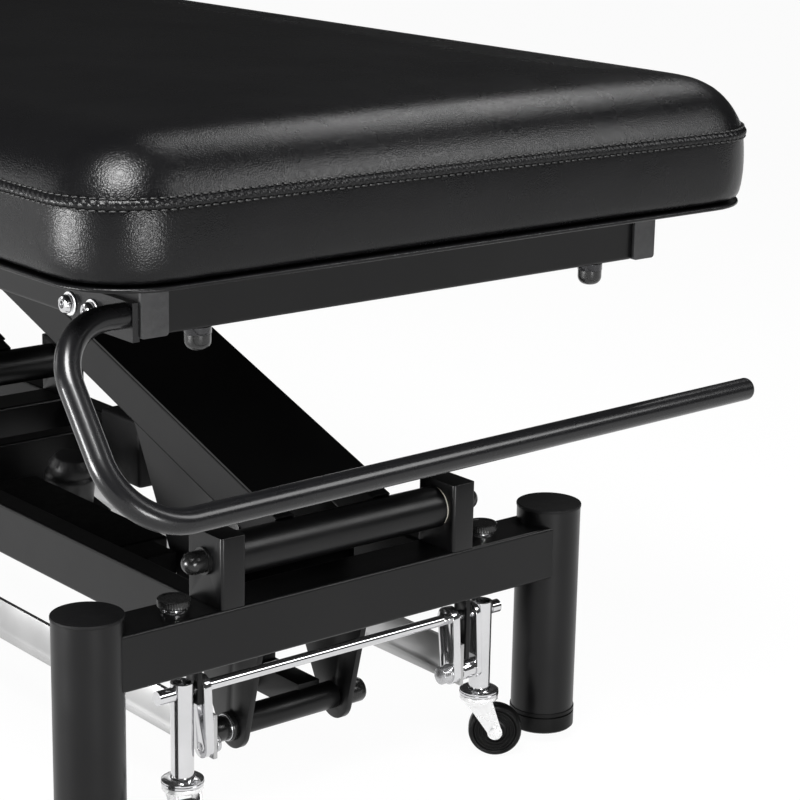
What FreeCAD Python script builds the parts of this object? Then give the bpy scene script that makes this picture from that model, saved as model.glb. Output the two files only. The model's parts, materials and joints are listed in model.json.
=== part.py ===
import FreeCAD, Part
import math
import os
import re
import Sketcher

# Treatment table with an electric parallel-arm lift, swing-away casters and a paper-roll bar.
# Frame: X across the table, Y along it with the roll-bar end at -Y, Z up from the floor.
# Every length is in millimetres, every angle in degrees.

DIMENSIONS = [
    # Base frame
    ("near_leg_y", -735.2, "place of the near pair of legs along the table"),
    ("base_length", 1400, "leg axis to leg axis along the table"),
    ("leg_spacing", 508, "leg axis to leg axis across the table"),
    ("leg_diameter", 60, "outside of the round legs"),
    ("leg_wall", 2, "wall of the leg tube"),
    ("leg_top", 230, "upper end of the leg tube above the floor"),
    ("cap_thickness", 3, "leg cap"),
    ("cap_lip", 0.6, "how far the leg cap stands out all round"),
    ("foot_lift", 10, "gap under the feet while the casters carry the table"),
    ("foot_height", 20, "foot plug under the leg tube"),
    ("foot_lip", 0.8, "how far the foot stands out all round"),
    ("foot_groove", 1.6, "height and depth of the groove round the foot"),
    ("weld_gap", 0.05, "gap at a coped or welded joint"),
    ("crossbar_z", 167, "underside of the base tubes above the floor"),
    ("frame_tube", 50, "height of the base tubes and depth of the crossbars"),
    ("frame_wall", 2, "wall of the base tubes"),
    ("tube_corner", 3, "outside corner radius of every square tube"),
    ("rail_width", 25, "width of the side rails and posts"),
    ("post_clear", 228, "clear width between the posts"),
    ("post_height", 63, "posts above the base tubes"),
    # Lift arms
    ("pivot_rise", 38, "lower pivot above the top of the base tubes"),
    ("arm_pitch", 660, "near lower pivot to far lower pivot"),
    ("arm_length", 500, "lower pivot to upper pivot"),
    ("arm_angle", 19, "slope of the arms at rest"),
    ("arm_width", 126, "across the two bars of an arm"),
    ("bar_width", 20, "arm bar across the table"),
    ("bar_depth", 40, "arm bar, top to bottom"),
    ("bar_wall", 2, "wall of the arm bars"),
    ("bar_start", 10, "arm bar end from the pivot axis, coped round the tube"),
    ("cover_thickness", 2, "cover sheet of an arm"),
    ("cover_start", 24, "cover sheet end from the pivot axis"),
    ("pivot_tube_diameter", 38, "outside of the pivot tubes"),
    ("pivot_tube_wall", 3, "wall of the pivot tubes"),
    ("upper_tube_length", 156, "upper pivot tube of an arm"),
    ("shaft_diameter", 12, "pivot shafts"),
    ("running_fit", 0.05, "radial clearance of a turning fit"),
    ("open_fit", 0.5, "radial clearance of a pivot left open in the motion tree"),
    ("side_play", 0.3, "axial clearance beside a turning piece"),
    ("bush_flange", 2, "flange of the pivot bushes"),
    ("bush_rim", 36, "diameter of the bush flange"),
    ("bush_depth", 25, "bush sleeve inside the tube"),
    ("nut_diameter", 20, "dome nuts on the lower shafts"),
    ("nut_height", 9, "straight part of a dome nut"),
    ("nut_washer", 3, "washer under a dome nut"),
    ("nut_washer_diameter", 24, "outside of that washer"),
    # Lever and actuator
    ("lever_reach", 72, "lever pin behind the lower pivot"),
    ("lever_drop", 193, "lever pin below the lower pivot"),
    ("lever_thickness", 6, "lever plates"),
    ("lever_inset", 2, "lever plate inside the arm bar's outer face"),
    ("lever_end", 21, "radius of the rounded lever end"),
    ("lever_root_start", 58, "near end of the lever weld along the bar"),
    ("lever_root_end", 232, "far end of the lever weld along the bar"),
    ("lever_knee", 23, "height of the lever's near corner below the pivot"),
    ("lever_notch", 78, "top of the crossbar notch in the lever's near edge, below the pivot"),
    ("lever_flare", 112, "foot of that notch below the pivot"),
    ("lever_flare_reach", 31, "foot of that notch behind the pivot"),
    ("lever_web_thickness", 5, "web plate between the levers"),
    ("lever_shaft_diameter", 11.5, "cross shaft between the levers"),
    ("lever_bolt_diameter", 6, "bolts in the ends of the cross shaft"),
    ("lever_bolt_depth", 25, "bolt length inside the cross shaft"),
    ("lever_head_diameter", 23, "socket heads on the levers"),
    ("lever_head_height", 20, "socket head height"),
    ("lever_collar_diameter", 27, "collar under the socket head"),
    ("lever_collar_height", 6, "collar thickness"),
    ("mount_reach", 525, "rear actuator pin behind the near legs"),
    ("mount_rise", 87, "rear actuator pin above the lever pin at rest"),
    ("mount_bar_width", 25, "crossbar that carries the actuator"),
    ("eye_play", 4.7, "radial clearance of the rod's sleeve on the lever shaft"),
    ("eye_offset_out", 0.7, "sleeve past the lever shaft at rest, along the rod"),
    ("eye_offset_up", 3.3, "sleeve above the lever shaft at rest, square to the rod"),
    ("eye_wall", 2.5, "wall of the sleeve"),
    ("sleeve_gap", 2.5, "sleeve end to lever plate"),
    ("eye_width", 24, "rear eye across the table"),
    ("push_bar_width", 24, "square bar between sleeve and rod"),
    ("push_bar_height", 27, "that bar's height"),
    ("push_bar_offset", 26.5, "that bar right of the middle"),
    ("push_bar_low", 6, "that bar's underside below the lever shaft"),
    ("crank_reach", 148, "back of the crank plate behind the near pivot"),
    ("crank_thickness", 8, "crank plate that joins the bar to the rod"),
    ("crank_height", 33, "crank plate height"),
    ("ram_diameter", 22, "actuator rod"),
    ("ram_tube_diameter", 40, "outer tube of the actuator"),
    ("ram_tube_wall", 4, "wall of that tube"),
    ("ram_tube_reach", 310, "front of the outer tube from the rear pin"),
    ("ram_nose", 12, "front bush of the outer tube"),
    ("ram_engaged", 128, "rod length inside the outer tube at rest"),
    ("gearbox_width", 68, "gearbox across the table"),
    ("gearbox_length", 60, "gearbox along the table"),
    ("gearbox_height", 60, "gearbox, top to bottom"),
    ("gearbox_reach", 44, "gearbox back from the rear pin"),
    ("rear_eye_diameter", 32, "rear eye of the actuator"),
    ("motor_diameter", 52, "motor can"),
    ("motor_height", 37, "motor can above the gearbox"),
    ("motor_cap_diameter", 46, "first step of the motor cap"),
    ("motor_cap_step", 8, "height of that step"),
    ("motor_crown_diameter", 34, "flat crown of the motor cap"),
    ("motor_crown_step", 9, "height from the step to the crown"),
    ("bracket_thickness", 6, "actuator and top brackets"),
    ("bracket_width", 44, "bracket plates along the table"),
    ("bracket_tail", 20, "bracket plate past the pin"),
    ("pin_tail", 4, "rear pin beyond its bracket"),
    ("control_width", 67, "control box across the table"),
    ("control_length", 240, "control box along the table"),
    ("control_height", 40, "control box height"),
    ("control_start", 192, "control box behind the near legs"),
    ("supply_width", 34, "supply box across the table"),
    ("supply_length", 74, "supply box along the table"),
    ("supply_height", 72, "supply box height"),
    ("supply_gap", 3, "supply box in front of the actuator's crossbar"),
    ("inlet_width", 28, "mains inlet across the table"),
    ("inlet_height", 22, "mains inlet height"),
    ("inlet_depth", 7, "mains inlet standing out of the box"),
    ("inlet_wall", 2.5, "wall round the inlet's socket"),
    # Swing-away casters
    ("caster_spacing", 335, "caster stem to caster stem across the table"),
    ("caster_offset", 5, "middle between the casters from the middle of the table"),
    ("knob_spacing", 340, "lock knob to lock knob across the table"),
    ("caster_rod_z", 143, "swing axis above the floor"),
    ("caster_rod_diameter", 10, "cross rod"),
    ("rod_collar_diameter", 12.5, "heads on the rod ends"),
    ("rod_collar_left", 15, "length of the left head"),
    ("rod_collar_right", 9.5, "length of the right head"),
    ("stem_tube_diameter", 20, "upright caster tube"),
    ("stem_tube_wall", 2, "wall of the caster tube"),
    ("stem_tube_bottom", 67, "lower end of the caster tube above the floor"),
    ("stem_tube_head", 9, "caster tube above the rod axis"),
    ("stem_seat", 28, "bored part at the foot of the caster tube"),
    ("link_drop", 52, "link bolt below the rod"),
    ("link_reach", 5, "link bolt in front of the rod"),
    ("link_bolt_diameter", 8, "link bolts"),
    ("link_thickness", 4, "flat link bars"),
    ("link_rise", 29, "link bars above their bolts"),
    ("link_fall", 11, "link bars below their bolts"),
    ("link_tail", 8, "link bar beyond its bolt"),
    ("caster_lever_thickness", 8, "heavy caster lever plates"),
    ("caster_lever_thin", 5.5, "plate beside the right caster tube"),
    ("caster_lever_head", 11.5, "lever radius round the rod"),
    ("caster_lever_end", 10, "lever radius round the bolt"),
    ("right_lever_gap", 20, "space between the right lever plates"),
    ("spacer_diameter", 18, "spacer bush between the right plates"),
    ("link_head_diameter", 16, "socket heads of the link bolts"),
    ("link_head_height", 8, "their height, the left ones being low"),
    ("link_head_low", 3, "height of the low heads"),
    ("link_washer", 1.5, "washer under those heads"),
    ("hanger_thickness", 4.2, "hanger plates that carry the rod"),
    ("hanger_width", 18, "hanger plates along the table"),
    ("hanger_tail_right", 41, "right hanger below the rod"),
    ("hanger_tail_left", 12, "left hanger below the rod"),
    ("stem_diameter", 10, "caster stem"),
    ("stem_length", 24, "caster stem inside its tube"),
    ("swivel_diameter", 36, "swivel plate"),
    ("swivel_thickness", 4, "swivel plate"),
    ("swivel_z", 60, "top of the swivel plate above the floor"),
    ("wheel_diameter", 50, "caster wheel"),
    ("wheel_width", 18, "caster wheel"),
    ("wheel_hub_diameter", 24, "wheel hub"),
    ("wheel_recess", 3, "dish in the wheel's faces"),
    ("wheel_rim", 5, "rim left round that dish"),
    ("tread_edge", 3, "bevel of the tread"),
    ("wheel_trail", 16, "wheel axle from the stem axis"),
    ("wheel_play", 0.6, "gap beside the wheel"),
    ("fork_thickness", 2.5, "fork cheeks"),
    ("fork_end", 7, "fork cheek radius round the axle"),
    ("fork_root", 26, "length of the fork cheeks at the top"),
    ("axle_diameter", 6, "wheel axle"),
    ("axle_head_diameter", 10, "rivet heads of the axle"),
    ("axle_head_height", 1.8, "their height"),
    ("near_left_heading", -100, "trail direction of the near left caster"),
    ("near_right_heading", -42, "trail direction of the near right caster"),
    ("far_left_heading", 150, "trail direction of the far left caster"),
    ("far_right_heading", 70, "trail direction of the far right caster"),
    ("knob_diameter", 28, "lock knobs"),
    ("knob_height", 7, "knurled part of a lock knob"),
    ("knob_neck_diameter", 22, "bright neck under the knob"),
    ("knob_neck_height", 5, "its height"),
    ("plunger_diameter", 8, "lock plunger"),
    ("plunger_tip_z", 158.5, "plunger tip above the floor"),
    # Top frame
    ("top_rail_z", 484, "underside of the top rails above the floor at rest"),
    ("top_rail_height", 50, "top rails"),
    ("top_rail_width", 25, "top rails"),
    ("top_rail_wall", 1.5, "wall of the top rails"),
    ("top_frame_width", 538, "across the top side rails"),
    ("top_frame_reach", 104, "near end of the side rails in front of the near legs"),
    ("top_frame_length", 1708, "top side rails"),
    ("end_rail_recess", 1, "end rails behind the ends of the side rails"),
    ("plug_flange", 3, "end plugs outside the tube"),
    ("plug_depth", 18, "end plugs inside the tube"),
    ("plug_fit", 0.1, "gap round a plug inside its tube"),
    ("bumper_spacing", 414, "bumper to bumper across the table"),
    ("bumper_diameter", 20, "rubber bumpers"),
    ("bumper_height", 8, "straight part of a bumper"),
    ("bumper_washer", 1.5, "washer above a bumper"),
    ("bumper_washer_diameter", 22, "that washer"),
    ("shaft_head_diameter", 20, "heads of the upper shafts"),
    ("shaft_head_height", 6, "their height"),
    # Board and cushion
    ("cushion_width", 700, "widest part of the cushion"),
    ("cushion_length", 1850, "longest part of the cushion"),
    ("cushion_reach", 175, "near end of the cushion in front of the near legs"),
    ("cushion_height", 112.5, "cushion above its board, crown included"),
    ("cushion_corner", 70, "plan radius of the cushion's corners"),
    ("cushion_corner_least", 22, "plan radius that the crown's outline keeps"),
    ("cushion_round_rise", 5, "height of the turned-under lower edge"),
    ("cushion_tuck", 1.5, "how far that edge turns under"),
    ("cushion_seam", 64.5, "seam above the board"),
    ("cushion_bulge", 3.5, "how far the sides swell between board and seam"),
    ("cushion_edge", 62, "width of the rounded upper edge"),
    ("cushion_edge_start", 20, "slope at which that edge leaves the seam"),
    ("cushion_crown", 4, "crown above the rounded edge"),
    ("cushion_crown_width", 160, "width of the sloping part of the crown"),
    ("cushion_draw", 2, "how far each side is drawn in between its corners"),
    ("board_inset", 5, "board inside the cushion's widest line"),
    ("board_thickness", 3.5, "deck board with its wrapped cover"),
    ("seat_gap", 0.3, "cushion above its board"),
    # Paper-roll bar
    ("roll_tube_diameter", 20, "bent tube"),
    ("roll_tube_wall", 2, "its wall"),
    ("roll_plate_thickness", 6, "bracket plate on the left rail"),
    ("roll_plate_length", 95, "bracket plate along the table"),
    ("roll_plate_height", 30, "bracket plate height"),
    ("roll_plate_reach", 105, "near edge of the plate in front of the near legs"),
    ("roll_plate_drop", 2, "plate below the rail"),
    ("roll_plate_chamfer", 12, "cut corner of the plate"),
    ("roll_start_reach", 94, "tube's end on the plate in front of the near legs"),
    ("roll_start_rise", 17, "tube's end above the underside of the rail"),
    ("roll_side_x", 340, "side leg of the bar from the table's centre line"),
    ("roll_run_reach", 196.4, "start of the run in front of the near legs"),
    ("roll_run_drop", 114.5, "run below the underside of the rail"),
    ("roll_run_end", 328, "free end of the run from the table's centre line"),
    ("roll_run_skew", 2, "angle of the run in plan"),
    ("roll_bend_upper", 50, "bend at the plate"),
    ("roll_bend_lower", 56, "bend at the run"),
    ("roll_cap", 4, "rounding of the closed free end"),
    ("roll_bolt_diameter", 8, "bolts of the plate"),
    ("roll_bolt_pitch", 32, "bolt to bolt"),
    ("roll_bolt_reach", 50, "near bolt in front of the near legs"),
    ("roll_bolt_rise", 12, "bolts above the underside of the rail"),
    ("roll_head_diameter", 14, "button heads"),
    ("roll_head_height", 4.5, "their height"),
    ("roll_washer_diameter", 16, "washers under the heads"),
    ("roll_washer", 3.5, "flat and spring washer together"),
    ("roll_bolt_tail", 9, "bolt length inside the rail"),
]

doc = FreeCAD.newDocument("treatment_table")
sheet = doc.addObject("Spreadsheet::Sheet", "Sheet")
for row, (alias, size, note) in enumerate(DIMENSIONS, 1):
    sheet.set("A%d" % row, note)
    sheet.set("B%d" % row, str(size))
    sheet.setAlias("B%d" % row, alias)
doc.recompute()
ALIASES = {alias for alias, size, note in DIMENSIONS}
nodes = {}


# Expressions and values

def terms(text):
    return re.sub(r"[a-z][a-z0-9_]*", lambda m: "Sheet." + m[0] if m[0] in ALIASES else m[0], str(text))


def bind(item, prop, text):
    item.setExpression(prop, terms(text))


def number(text):
    return float(sheet.evalExpression(terms(text)))


def node(label, item):
    item.Label = label
    nodes[label] = item
    return item


# Solids

def box(name, low, high):
    solid = doc.addObject("Part::Box", name)
    for side, axis, a, b in zip(("Length", "Width", "Height"), "xyz", low, high):
        bind(solid, side, "(%s) - (%s)" % (b, a))
        bind(solid, "Placement.Base." + axis, a)
    return solid


def cylinder(name, axis, diameter, start, end, at):
    turns = {"x": ((0, 1, 0), 90), "y": ((1, 0, 0), -90), "z": ((0, 0, 1), 0)}
    solid = doc.addObject("Part::Cylinder", name)
    spin, angle = turns[axis]
    solid.Placement = FreeCAD.Placement(FreeCAD.Vector(), FreeCAD.Rotation(FreeCAD.Vector(*spin), angle))
    bind(solid, "Radius", "(%s) / 2" % diameter)
    bind(solid, "Height", "(%s) - (%s)" % (end, start))
    others = [a for a in "xyz" if a != axis]
    bind(solid, "Placement.Base." + axis, start)
    for other, place in zip(others, at):
        bind(solid, "Placement.Base." + other, place)
    return solid


def dome(name, diameter, place, aim):
    solid = doc.addObject("Part::Sphere", name)
    solid.Angle1 = 0
    turn = FreeCAD.Rotation(FreeCAD.Vector(0, 0, 1), FreeCAD.Vector(*aim))
    solid.Placement = FreeCAD.Placement(FreeCAD.Vector(), turn)
    bind(solid, "Radius", "(%s) / 2" % diameter)
    for axis, text in zip("xyz", place):
        bind(solid, "Placement.Base." + axis, text)
    return solid


def fuse(name, *parts):
    whole = doc.addObject("Part::MultiFuse", name)
    whole.Shapes = list(parts)
    return whole


def group(name, *parts):
    whole = doc.addObject("Part::Compound", name)
    whole.Links = list(parts)
    return whole


def cut(name, base, *tools):
    whole = doc.addObject("Part::Cut", name)
    whole.Base = base
    whole.Tool = tools[0] if len(tools) == 1 else fuse(name + "_tools", *tools)
    return whole


def place(item, x="0", y="0", z="0", axis=None, angle="0"):
    if axis:
        item.Placement = FreeCAD.Placement(FreeCAD.Vector(), FreeCAD.Rotation(FreeCAD.Vector(*axis), 1))
        bind(item, "Placement.Rotation.Angle", angle)
    for letter, text in zip("xyz", (x, y, z)):
        bind(item, "Placement.Base." + letter, text)
    return item


def rounded_bar(name, axis, low, high, corner):
    # A box with its four long edges rounded: two crossing boxes and four corner rods.
    along = "xyz".index(axis)
    first, second = [i for i in range(3) if i != along]
    inset_low = ["%s + %s" % (a, corner) for a in low]
    inset_high = ["%s - (%s)" % (b, corner) for b in high]
    parts = []
    for slim in (first, second):
        a, b = list(low), list(high)
        a[slim], b[slim] = inset_low[slim], inset_high[slim]
        parts.append(box("%s_core_%d" % (name, slim), a, b))
    for i, u in enumerate((inset_low[first], inset_high[first])):
        for j, v in enumerate((inset_low[second], inset_high[second])):
            parts.append(cylinder("%s_edge_%d%d" % (name, i, j), axis, "2 * (%s)" % corner,
                                  low[along], high[along], (u, v)))
    whole = fuse(name, *parts)
    whole.Refine = True
    return whole


def square_tube(name, axis, low, high, wall, closed_end="0"):
    # A rounded square tube; closed_end is the thickness of a plate that shuts its upper end.
    inner_low, inner_high = [], []
    for letter, a, b in zip("xyz", low, high):
        inner_low.append(a if letter == axis else "(%s) + %s" % (a, wall))
        inner_high.append("%s - %s" % (b, closed_end) if letter == axis else "(%s) - %s" % (b, wall))
    return cut(name, rounded_bar(name + "_outer", axis, low, high, "tube_corner"),
               rounded_bar(name + "_inner", axis, inner_low, inner_high, "tube_corner - " + wall))


def round_tube(name, axis, outer, inner, start, end, at):
    return cut(name, cylinder(name + "_outer", axis, outer, start, end, at),
               cylinder(name + "_inner", axis, inner, start, end, at))


# Sketch-based bodies

def outline_sketch(body, role, points):
    plane = [f for f in body.Origin.OriginFeatures if f.Role == role][0]
    sketch = body.newObject("Sketcher::SketchObject", body.Name + "_sketch")
    sketch.AttachmentSupport = [(plane, "")]
    sketch.MapMode = "FlatFace"
    corners = [FreeCAD.Vector(number(u), number(v), 0) for u, v in points]
    for i, corner in enumerate(corners):
        sketch.addGeometry(Part.LineSegment(corner, corners[(i + 1) % len(corners)]), False)
    for i in range(len(corners)):
        sketch.addConstraint(Sketcher.Constraint("Coincident", i, 2, (i + 1) % len(corners), 1))
    for i, (u, v) in enumerate(points):
        for kind, text in (("DistanceX", u), ("DistanceY", v)):
            index = sketch.addConstraint(Sketcher.Constraint(kind, -1, 1, i, 1, number(text)))
            sketch.setExpression("Constraints[%d]" % index, terms(text))
    return sketch


def turning(name, points):
    body = doc.addObject("PartDesign::Body", name)
    sketch = outline_sketch(body, "XZ_Plane", points)
    turn = body.newObject("PartDesign::Revolution", name + "_turn")
    turn.Profile = sketch
    turn.ReferenceAxis = (sketch, ["V_Axis"])
    turn.Angle = 360
    return body


def plate(name, role, points, thickness):
    body = doc.addObject("PartDesign::Body", name)
    sketch = outline_sketch(body, role, points)
    pad = body.newObject("PartDesign::Pad", name + "_pad")
    pad.Profile = sketch
    bind(pad, "Length", thickness)
    return body


SIDES = (("left", "-1"), ("right", "1"))
NEAR = "near_leg_y"
FAR = "(near_leg_y + base_length)"
MID = "(near_leg_y + arm_pitch)"
FRAME_TOP = "(crossbar_z + frame_tube)"
PIVOT_Z = "(crossbar_z + frame_tube + pivot_rise)"
POST_IN = "(post_clear / 2)"
POST_OUT = "(post_clear / 2 + rail_width)"
MOUNT_Z = PIVOT_Z + " - lever_drop + mount_rise"
UPPER_Y = "arm_length * cos(arm_angle)"
UPPER_Z = "(crossbar_z + frame_tube + pivot_rise + arm_length * sin(arm_angle))"


def across(sign, inner, outer):
    # Low and high X of a piece that lies between two distances on one side of the centre line.
    return (inner, outer) if sign == "1" else ("-(%s)" % outer, "-(%s)" % inner)


# Base frame

def crossbar(name, y, knob_holes):
    half = "leg_spacing / 2"
    low = ("-(%s)" % half, "%s - frame_tube / 2" % y, "crossbar_z")
    high = (half, "%s + frame_tube / 2" % y, FRAME_TOP)
    tools = []
    for side, sign in SIDES:
        tools.append(cylinder("%s_%s_cope" % (name, side), "z", "leg_diameter + 2 * weld_gap",
                              "crossbar_z - frame_tube", FRAME_TOP + " + frame_tube",
                              ("%s * leg_spacing / 2" % sign, y)))
        if knob_holes:
            tools.append(cylinder("%s_%s_hole" % (name, side), "z", "plunger_diameter + 4 * running_fit",
                                  "crossbar_z - frame_tube", FRAME_TOP + " + frame_tube",
                                  ("%s * knob_spacing / 2" % sign, y)))
    return cut(name, square_tube(name + "_tube", "x", low, high, "frame_wall"), *tools)


def base_frame():
    node("base_end_crossbars", group("base_end_crossbars", crossbar("near_crossbar", NEAR, True),
                                     crossbar("far_crossbar", FAR, True)))
    rails = []
    for side, sign in SIDES:
        low_x, high_x = across(sign, POST_IN, POST_OUT)
        rails.append(square_tube(side + "_side_rail", "y",
                                 (low_x, NEAR + " + frame_tube / 2", "crossbar_z"),
                                 (high_x, FAR + " - frame_tube / 2", FRAME_TOP), "frame_wall"))
    node("base_side_rails", group("base_side_rails", *rails))
    node("mid_crossbar", square_tube("mid_crossbar", "x",
                                     ("-" + POST_IN, MID + " - frame_tube / 2", "crossbar_z"),
                                     (POST_IN, MID + " + frame_tube / 2", FRAME_TOP), "frame_wall"))
    node("actuator_crossbar", square_tube("actuator_crossbar", "x",
                                          ("-" + POST_IN, NEAR + " + mount_reach - mount_bar_width / 2",
                                           "crossbar_z"),
                                          (POST_IN, NEAR + " + mount_reach + mount_bar_width / 2", FRAME_TOP),
                                          "frame_wall"))


def legs():
    tubes, caps, feet = [], [], []
    for end, y in (("near", NEAR), ("far", FAR)):
        for side, sign in SIDES:
            name = "%s_%s_" % (end, side)
            x = "%s * leg_spacing / 2" % sign
            tubes.append(round_tube(name + "leg", "z", "leg_diameter", "leg_diameter - 2 * leg_wall",
                                    "foot_lift + foot_height", "leg_top", (x, y)))
            rim = "leg_diameter / 2 + cap_lip"
            cap = turning(name + "cap", [("0", "0"), (rim, "0"), (rim, "cap_thickness - cap_lip"),
                                         ("leg_diameter / 2", "cap_thickness"), ("0", "cap_thickness")])
            caps.append(place(cap, x, y, "leg_top"))
            rim = "leg_diameter / 2 + foot_lip"
            waist = "leg_diameter / 2 + foot_lip - foot_groove"
            foot = turning(name + "foot", [("0", "0"), (waist, "0"), (rim, "foot_groove"),
                                           (rim, "foot_height - 3 * foot_groove"),
                                           (waist, "foot_height - 3 * foot_groove"),
                                           (waist, "foot_height - 2 * foot_groove"),
                                           (rim, "foot_height - 2 * foot_groove"),
                                           (rim, "foot_height"), ("0", "foot_height")])
            feet.append(place(foot, x, y, "foot_lift"))
    node("legs", group("legs", *tubes))
    node("leg_caps", group("leg_caps", *caps))
    node("leg_feet", group("leg_feet", *feet))


def posts_and_shafts():
    posts, shafts, nuts = [], [], []
    half = POST_OUT + " + nut_washer + nut_height"
    for end, y in (("near", NEAR), ("mid", MID)):
        for side, sign in SIDES:
            name = "%s_%s_" % (end, side)
            low_x, high_x = across(sign, POST_IN, POST_OUT)
            tube = square_tube(name + "post_tube", "z", (low_x, y + " - frame_tube / 2", FRAME_TOP),
                               (high_x, y + " + frame_tube / 2", FRAME_TOP + " + post_height"),
                               "frame_wall", "frame_wall")
            bore = cylinder(name + "post_bore", "x", "shaft_diameter + 2 * running_fit",
                            low_x + " - rail_width", high_x + " + rail_width", (y, PIVOT_Z))
            posts.append(cut(name + "post", tube, bore))
            start, end_x = across(sign, POST_OUT, POST_OUT + " + nut_washer")
            washer = cylinder(name + "nut_washer", "x", "nut_washer_diameter", start, end_x, (y, PIVOT_Z))
            start, end_x = across(sign, POST_OUT + " + nut_washer", half)
            barrel = cylinder(name + "nut_barrel", "x", "nut_diameter", start, end_x, (y, PIVOT_Z))
            crown = dome(name + "nut_crown", "nut_diameter", ("%s * (%s)" % (sign, half), y, PIVOT_Z),
                         (float(sign), 0, 0))
            start, end_x = across(sign, POST_OUT, half)
            thread = cylinder(name + "nut_thread", "x", "shaft_diameter + 2 * running_fit", start, end_x,
                              (y, PIVOT_Z))
            nuts.append(cut(name + "nut", fuse(name + "nut_body", washer, barrel, crown), thread))
        shafts.append(cylinder(end + "_lower_shaft", "x", "shaft_diameter", "-(%s)" % half, half,
                               (y, PIVOT_Z)))
    node("pivot_posts", group("pivot_posts", *posts))
    node("pivot_dome_nuts", group("pivot_dome_nuts", *nuts))
    y = NEAR + " + mount_reach"
    tail = "eye_width / 2 + side_play + bracket_thickness + pin_tail"
    rear_pin = cylinder("rear_pin", "x", "shaft_diameter", "-(%s)" % tail, tail, (y, MOUNT_Z))
    node("base_pivot_pins", group("base_pivot_pins", shafts[0], shafts[1], rear_pin))


# Lift arms, drawn level with the lower pivot at their own origin and then turned to the arm's slope

def bush(name, start, sign, sleeve, bore):
    # A flanged bush: start is the tube's end face, sign the way out of the tube.
    inner, outer = "%s - bush_depth" % start, "%s + bush_flange" % start
    low, high = across(sign, inner, start)
    body = cylinder(name + "_sleeve", "x", sleeve, low, high, ("0", "0"))
    low, high = across(sign, start, outer)
    flange = cylinder(name + "_flange", "x", "bush_rim", low, high, ("0", "0"))
    low, high = across(sign, inner, outer)
    hole = cylinder(name + "_bore", "x", bore, low, high, ("0", "0"))
    return cut(name, fuse(name + "_body", body, flange), hole)


def arm(prefix, y, upper_bore):
    lower_half = "(%s - side_play - bush_flange)" % POST_IN
    upper_half = "(upper_tube_length / 2)"
    bore = "pivot_tube_diameter - 2 * pivot_tube_wall"
    tubes = [round_tube(prefix + "_lower_tube", "x", "pivot_tube_diameter", bore,
                        "-" + lower_half, lower_half, ("0", "0")),
             round_tube(prefix + "_upper_tube", "x", "pivot_tube_diameter", bore,
                        "-" + upper_half, upper_half, ("arm_length", "0"))]
    bars = []
    for side, sign in SIDES:
        low_x, high_x = across(sign, "arm_width / 2 - bar_width", "arm_width / 2")
        tube = square_tube("%s_%s_bar_tube" % (prefix, side), "y",
                           (low_x, "bar_start", "-bar_depth / 2"),
                           (high_x, "arm_length - bar_start", "bar_depth / 2"), "bar_wall")
        copes = [cylinder("%s_%s_cope_%d" % (prefix, side, i), "x", "pivot_tube_diameter + 2 * weld_gap",
                          low_x + " - bar_width", high_x + " + bar_width", (at, "0"))
                 for i, at in enumerate(("0", "arm_length"))]
        bars.append(cut("%s_%s_bar" % (prefix, side), tube, *copes))
    cover = box(prefix + "_cover", ("-arm_width / 2", "cover_start", "bar_depth / 2"),
                ("arm_width / 2", "arm_length - cover_start", "bar_depth / 2 + cover_thickness"))
    sleeve = bore + " - 2 * weld_gap"
    lower_bore = "shaft_diameter + 2 * running_fit"
    bushes = []
    for side, sign in SIDES:
        bushes.append(bush("%s_lower_%s_bush" % (prefix, side), lower_half, sign, sleeve, lower_bore))
        moved = group("%s_upper_%s_bush" % (prefix, side),
                      bush("%s_upper_%s_bush_form" % (prefix, side), upper_half, sign, sleeve, upper_bore))
        bushes.append(place(moved, "0", "arm_length", "0"))
    for label, item in ((prefix + "_tubes", group(prefix + "_tubes", *tubes)),
                        (prefix + "_bars", group(prefix + "_bars", *bars)),
                        (prefix + "_cover", cover),
                        (prefix + "_bushes", group(prefix + "_bushes", *bushes))):
        whole = item if item.TypeId == "Part::Compound" else group(prefix + "_cover_sheet", item)
        node(label, place(whole, "0", y, PIVOT_Z, (1, 0, 0), "arm_angle"))


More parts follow.
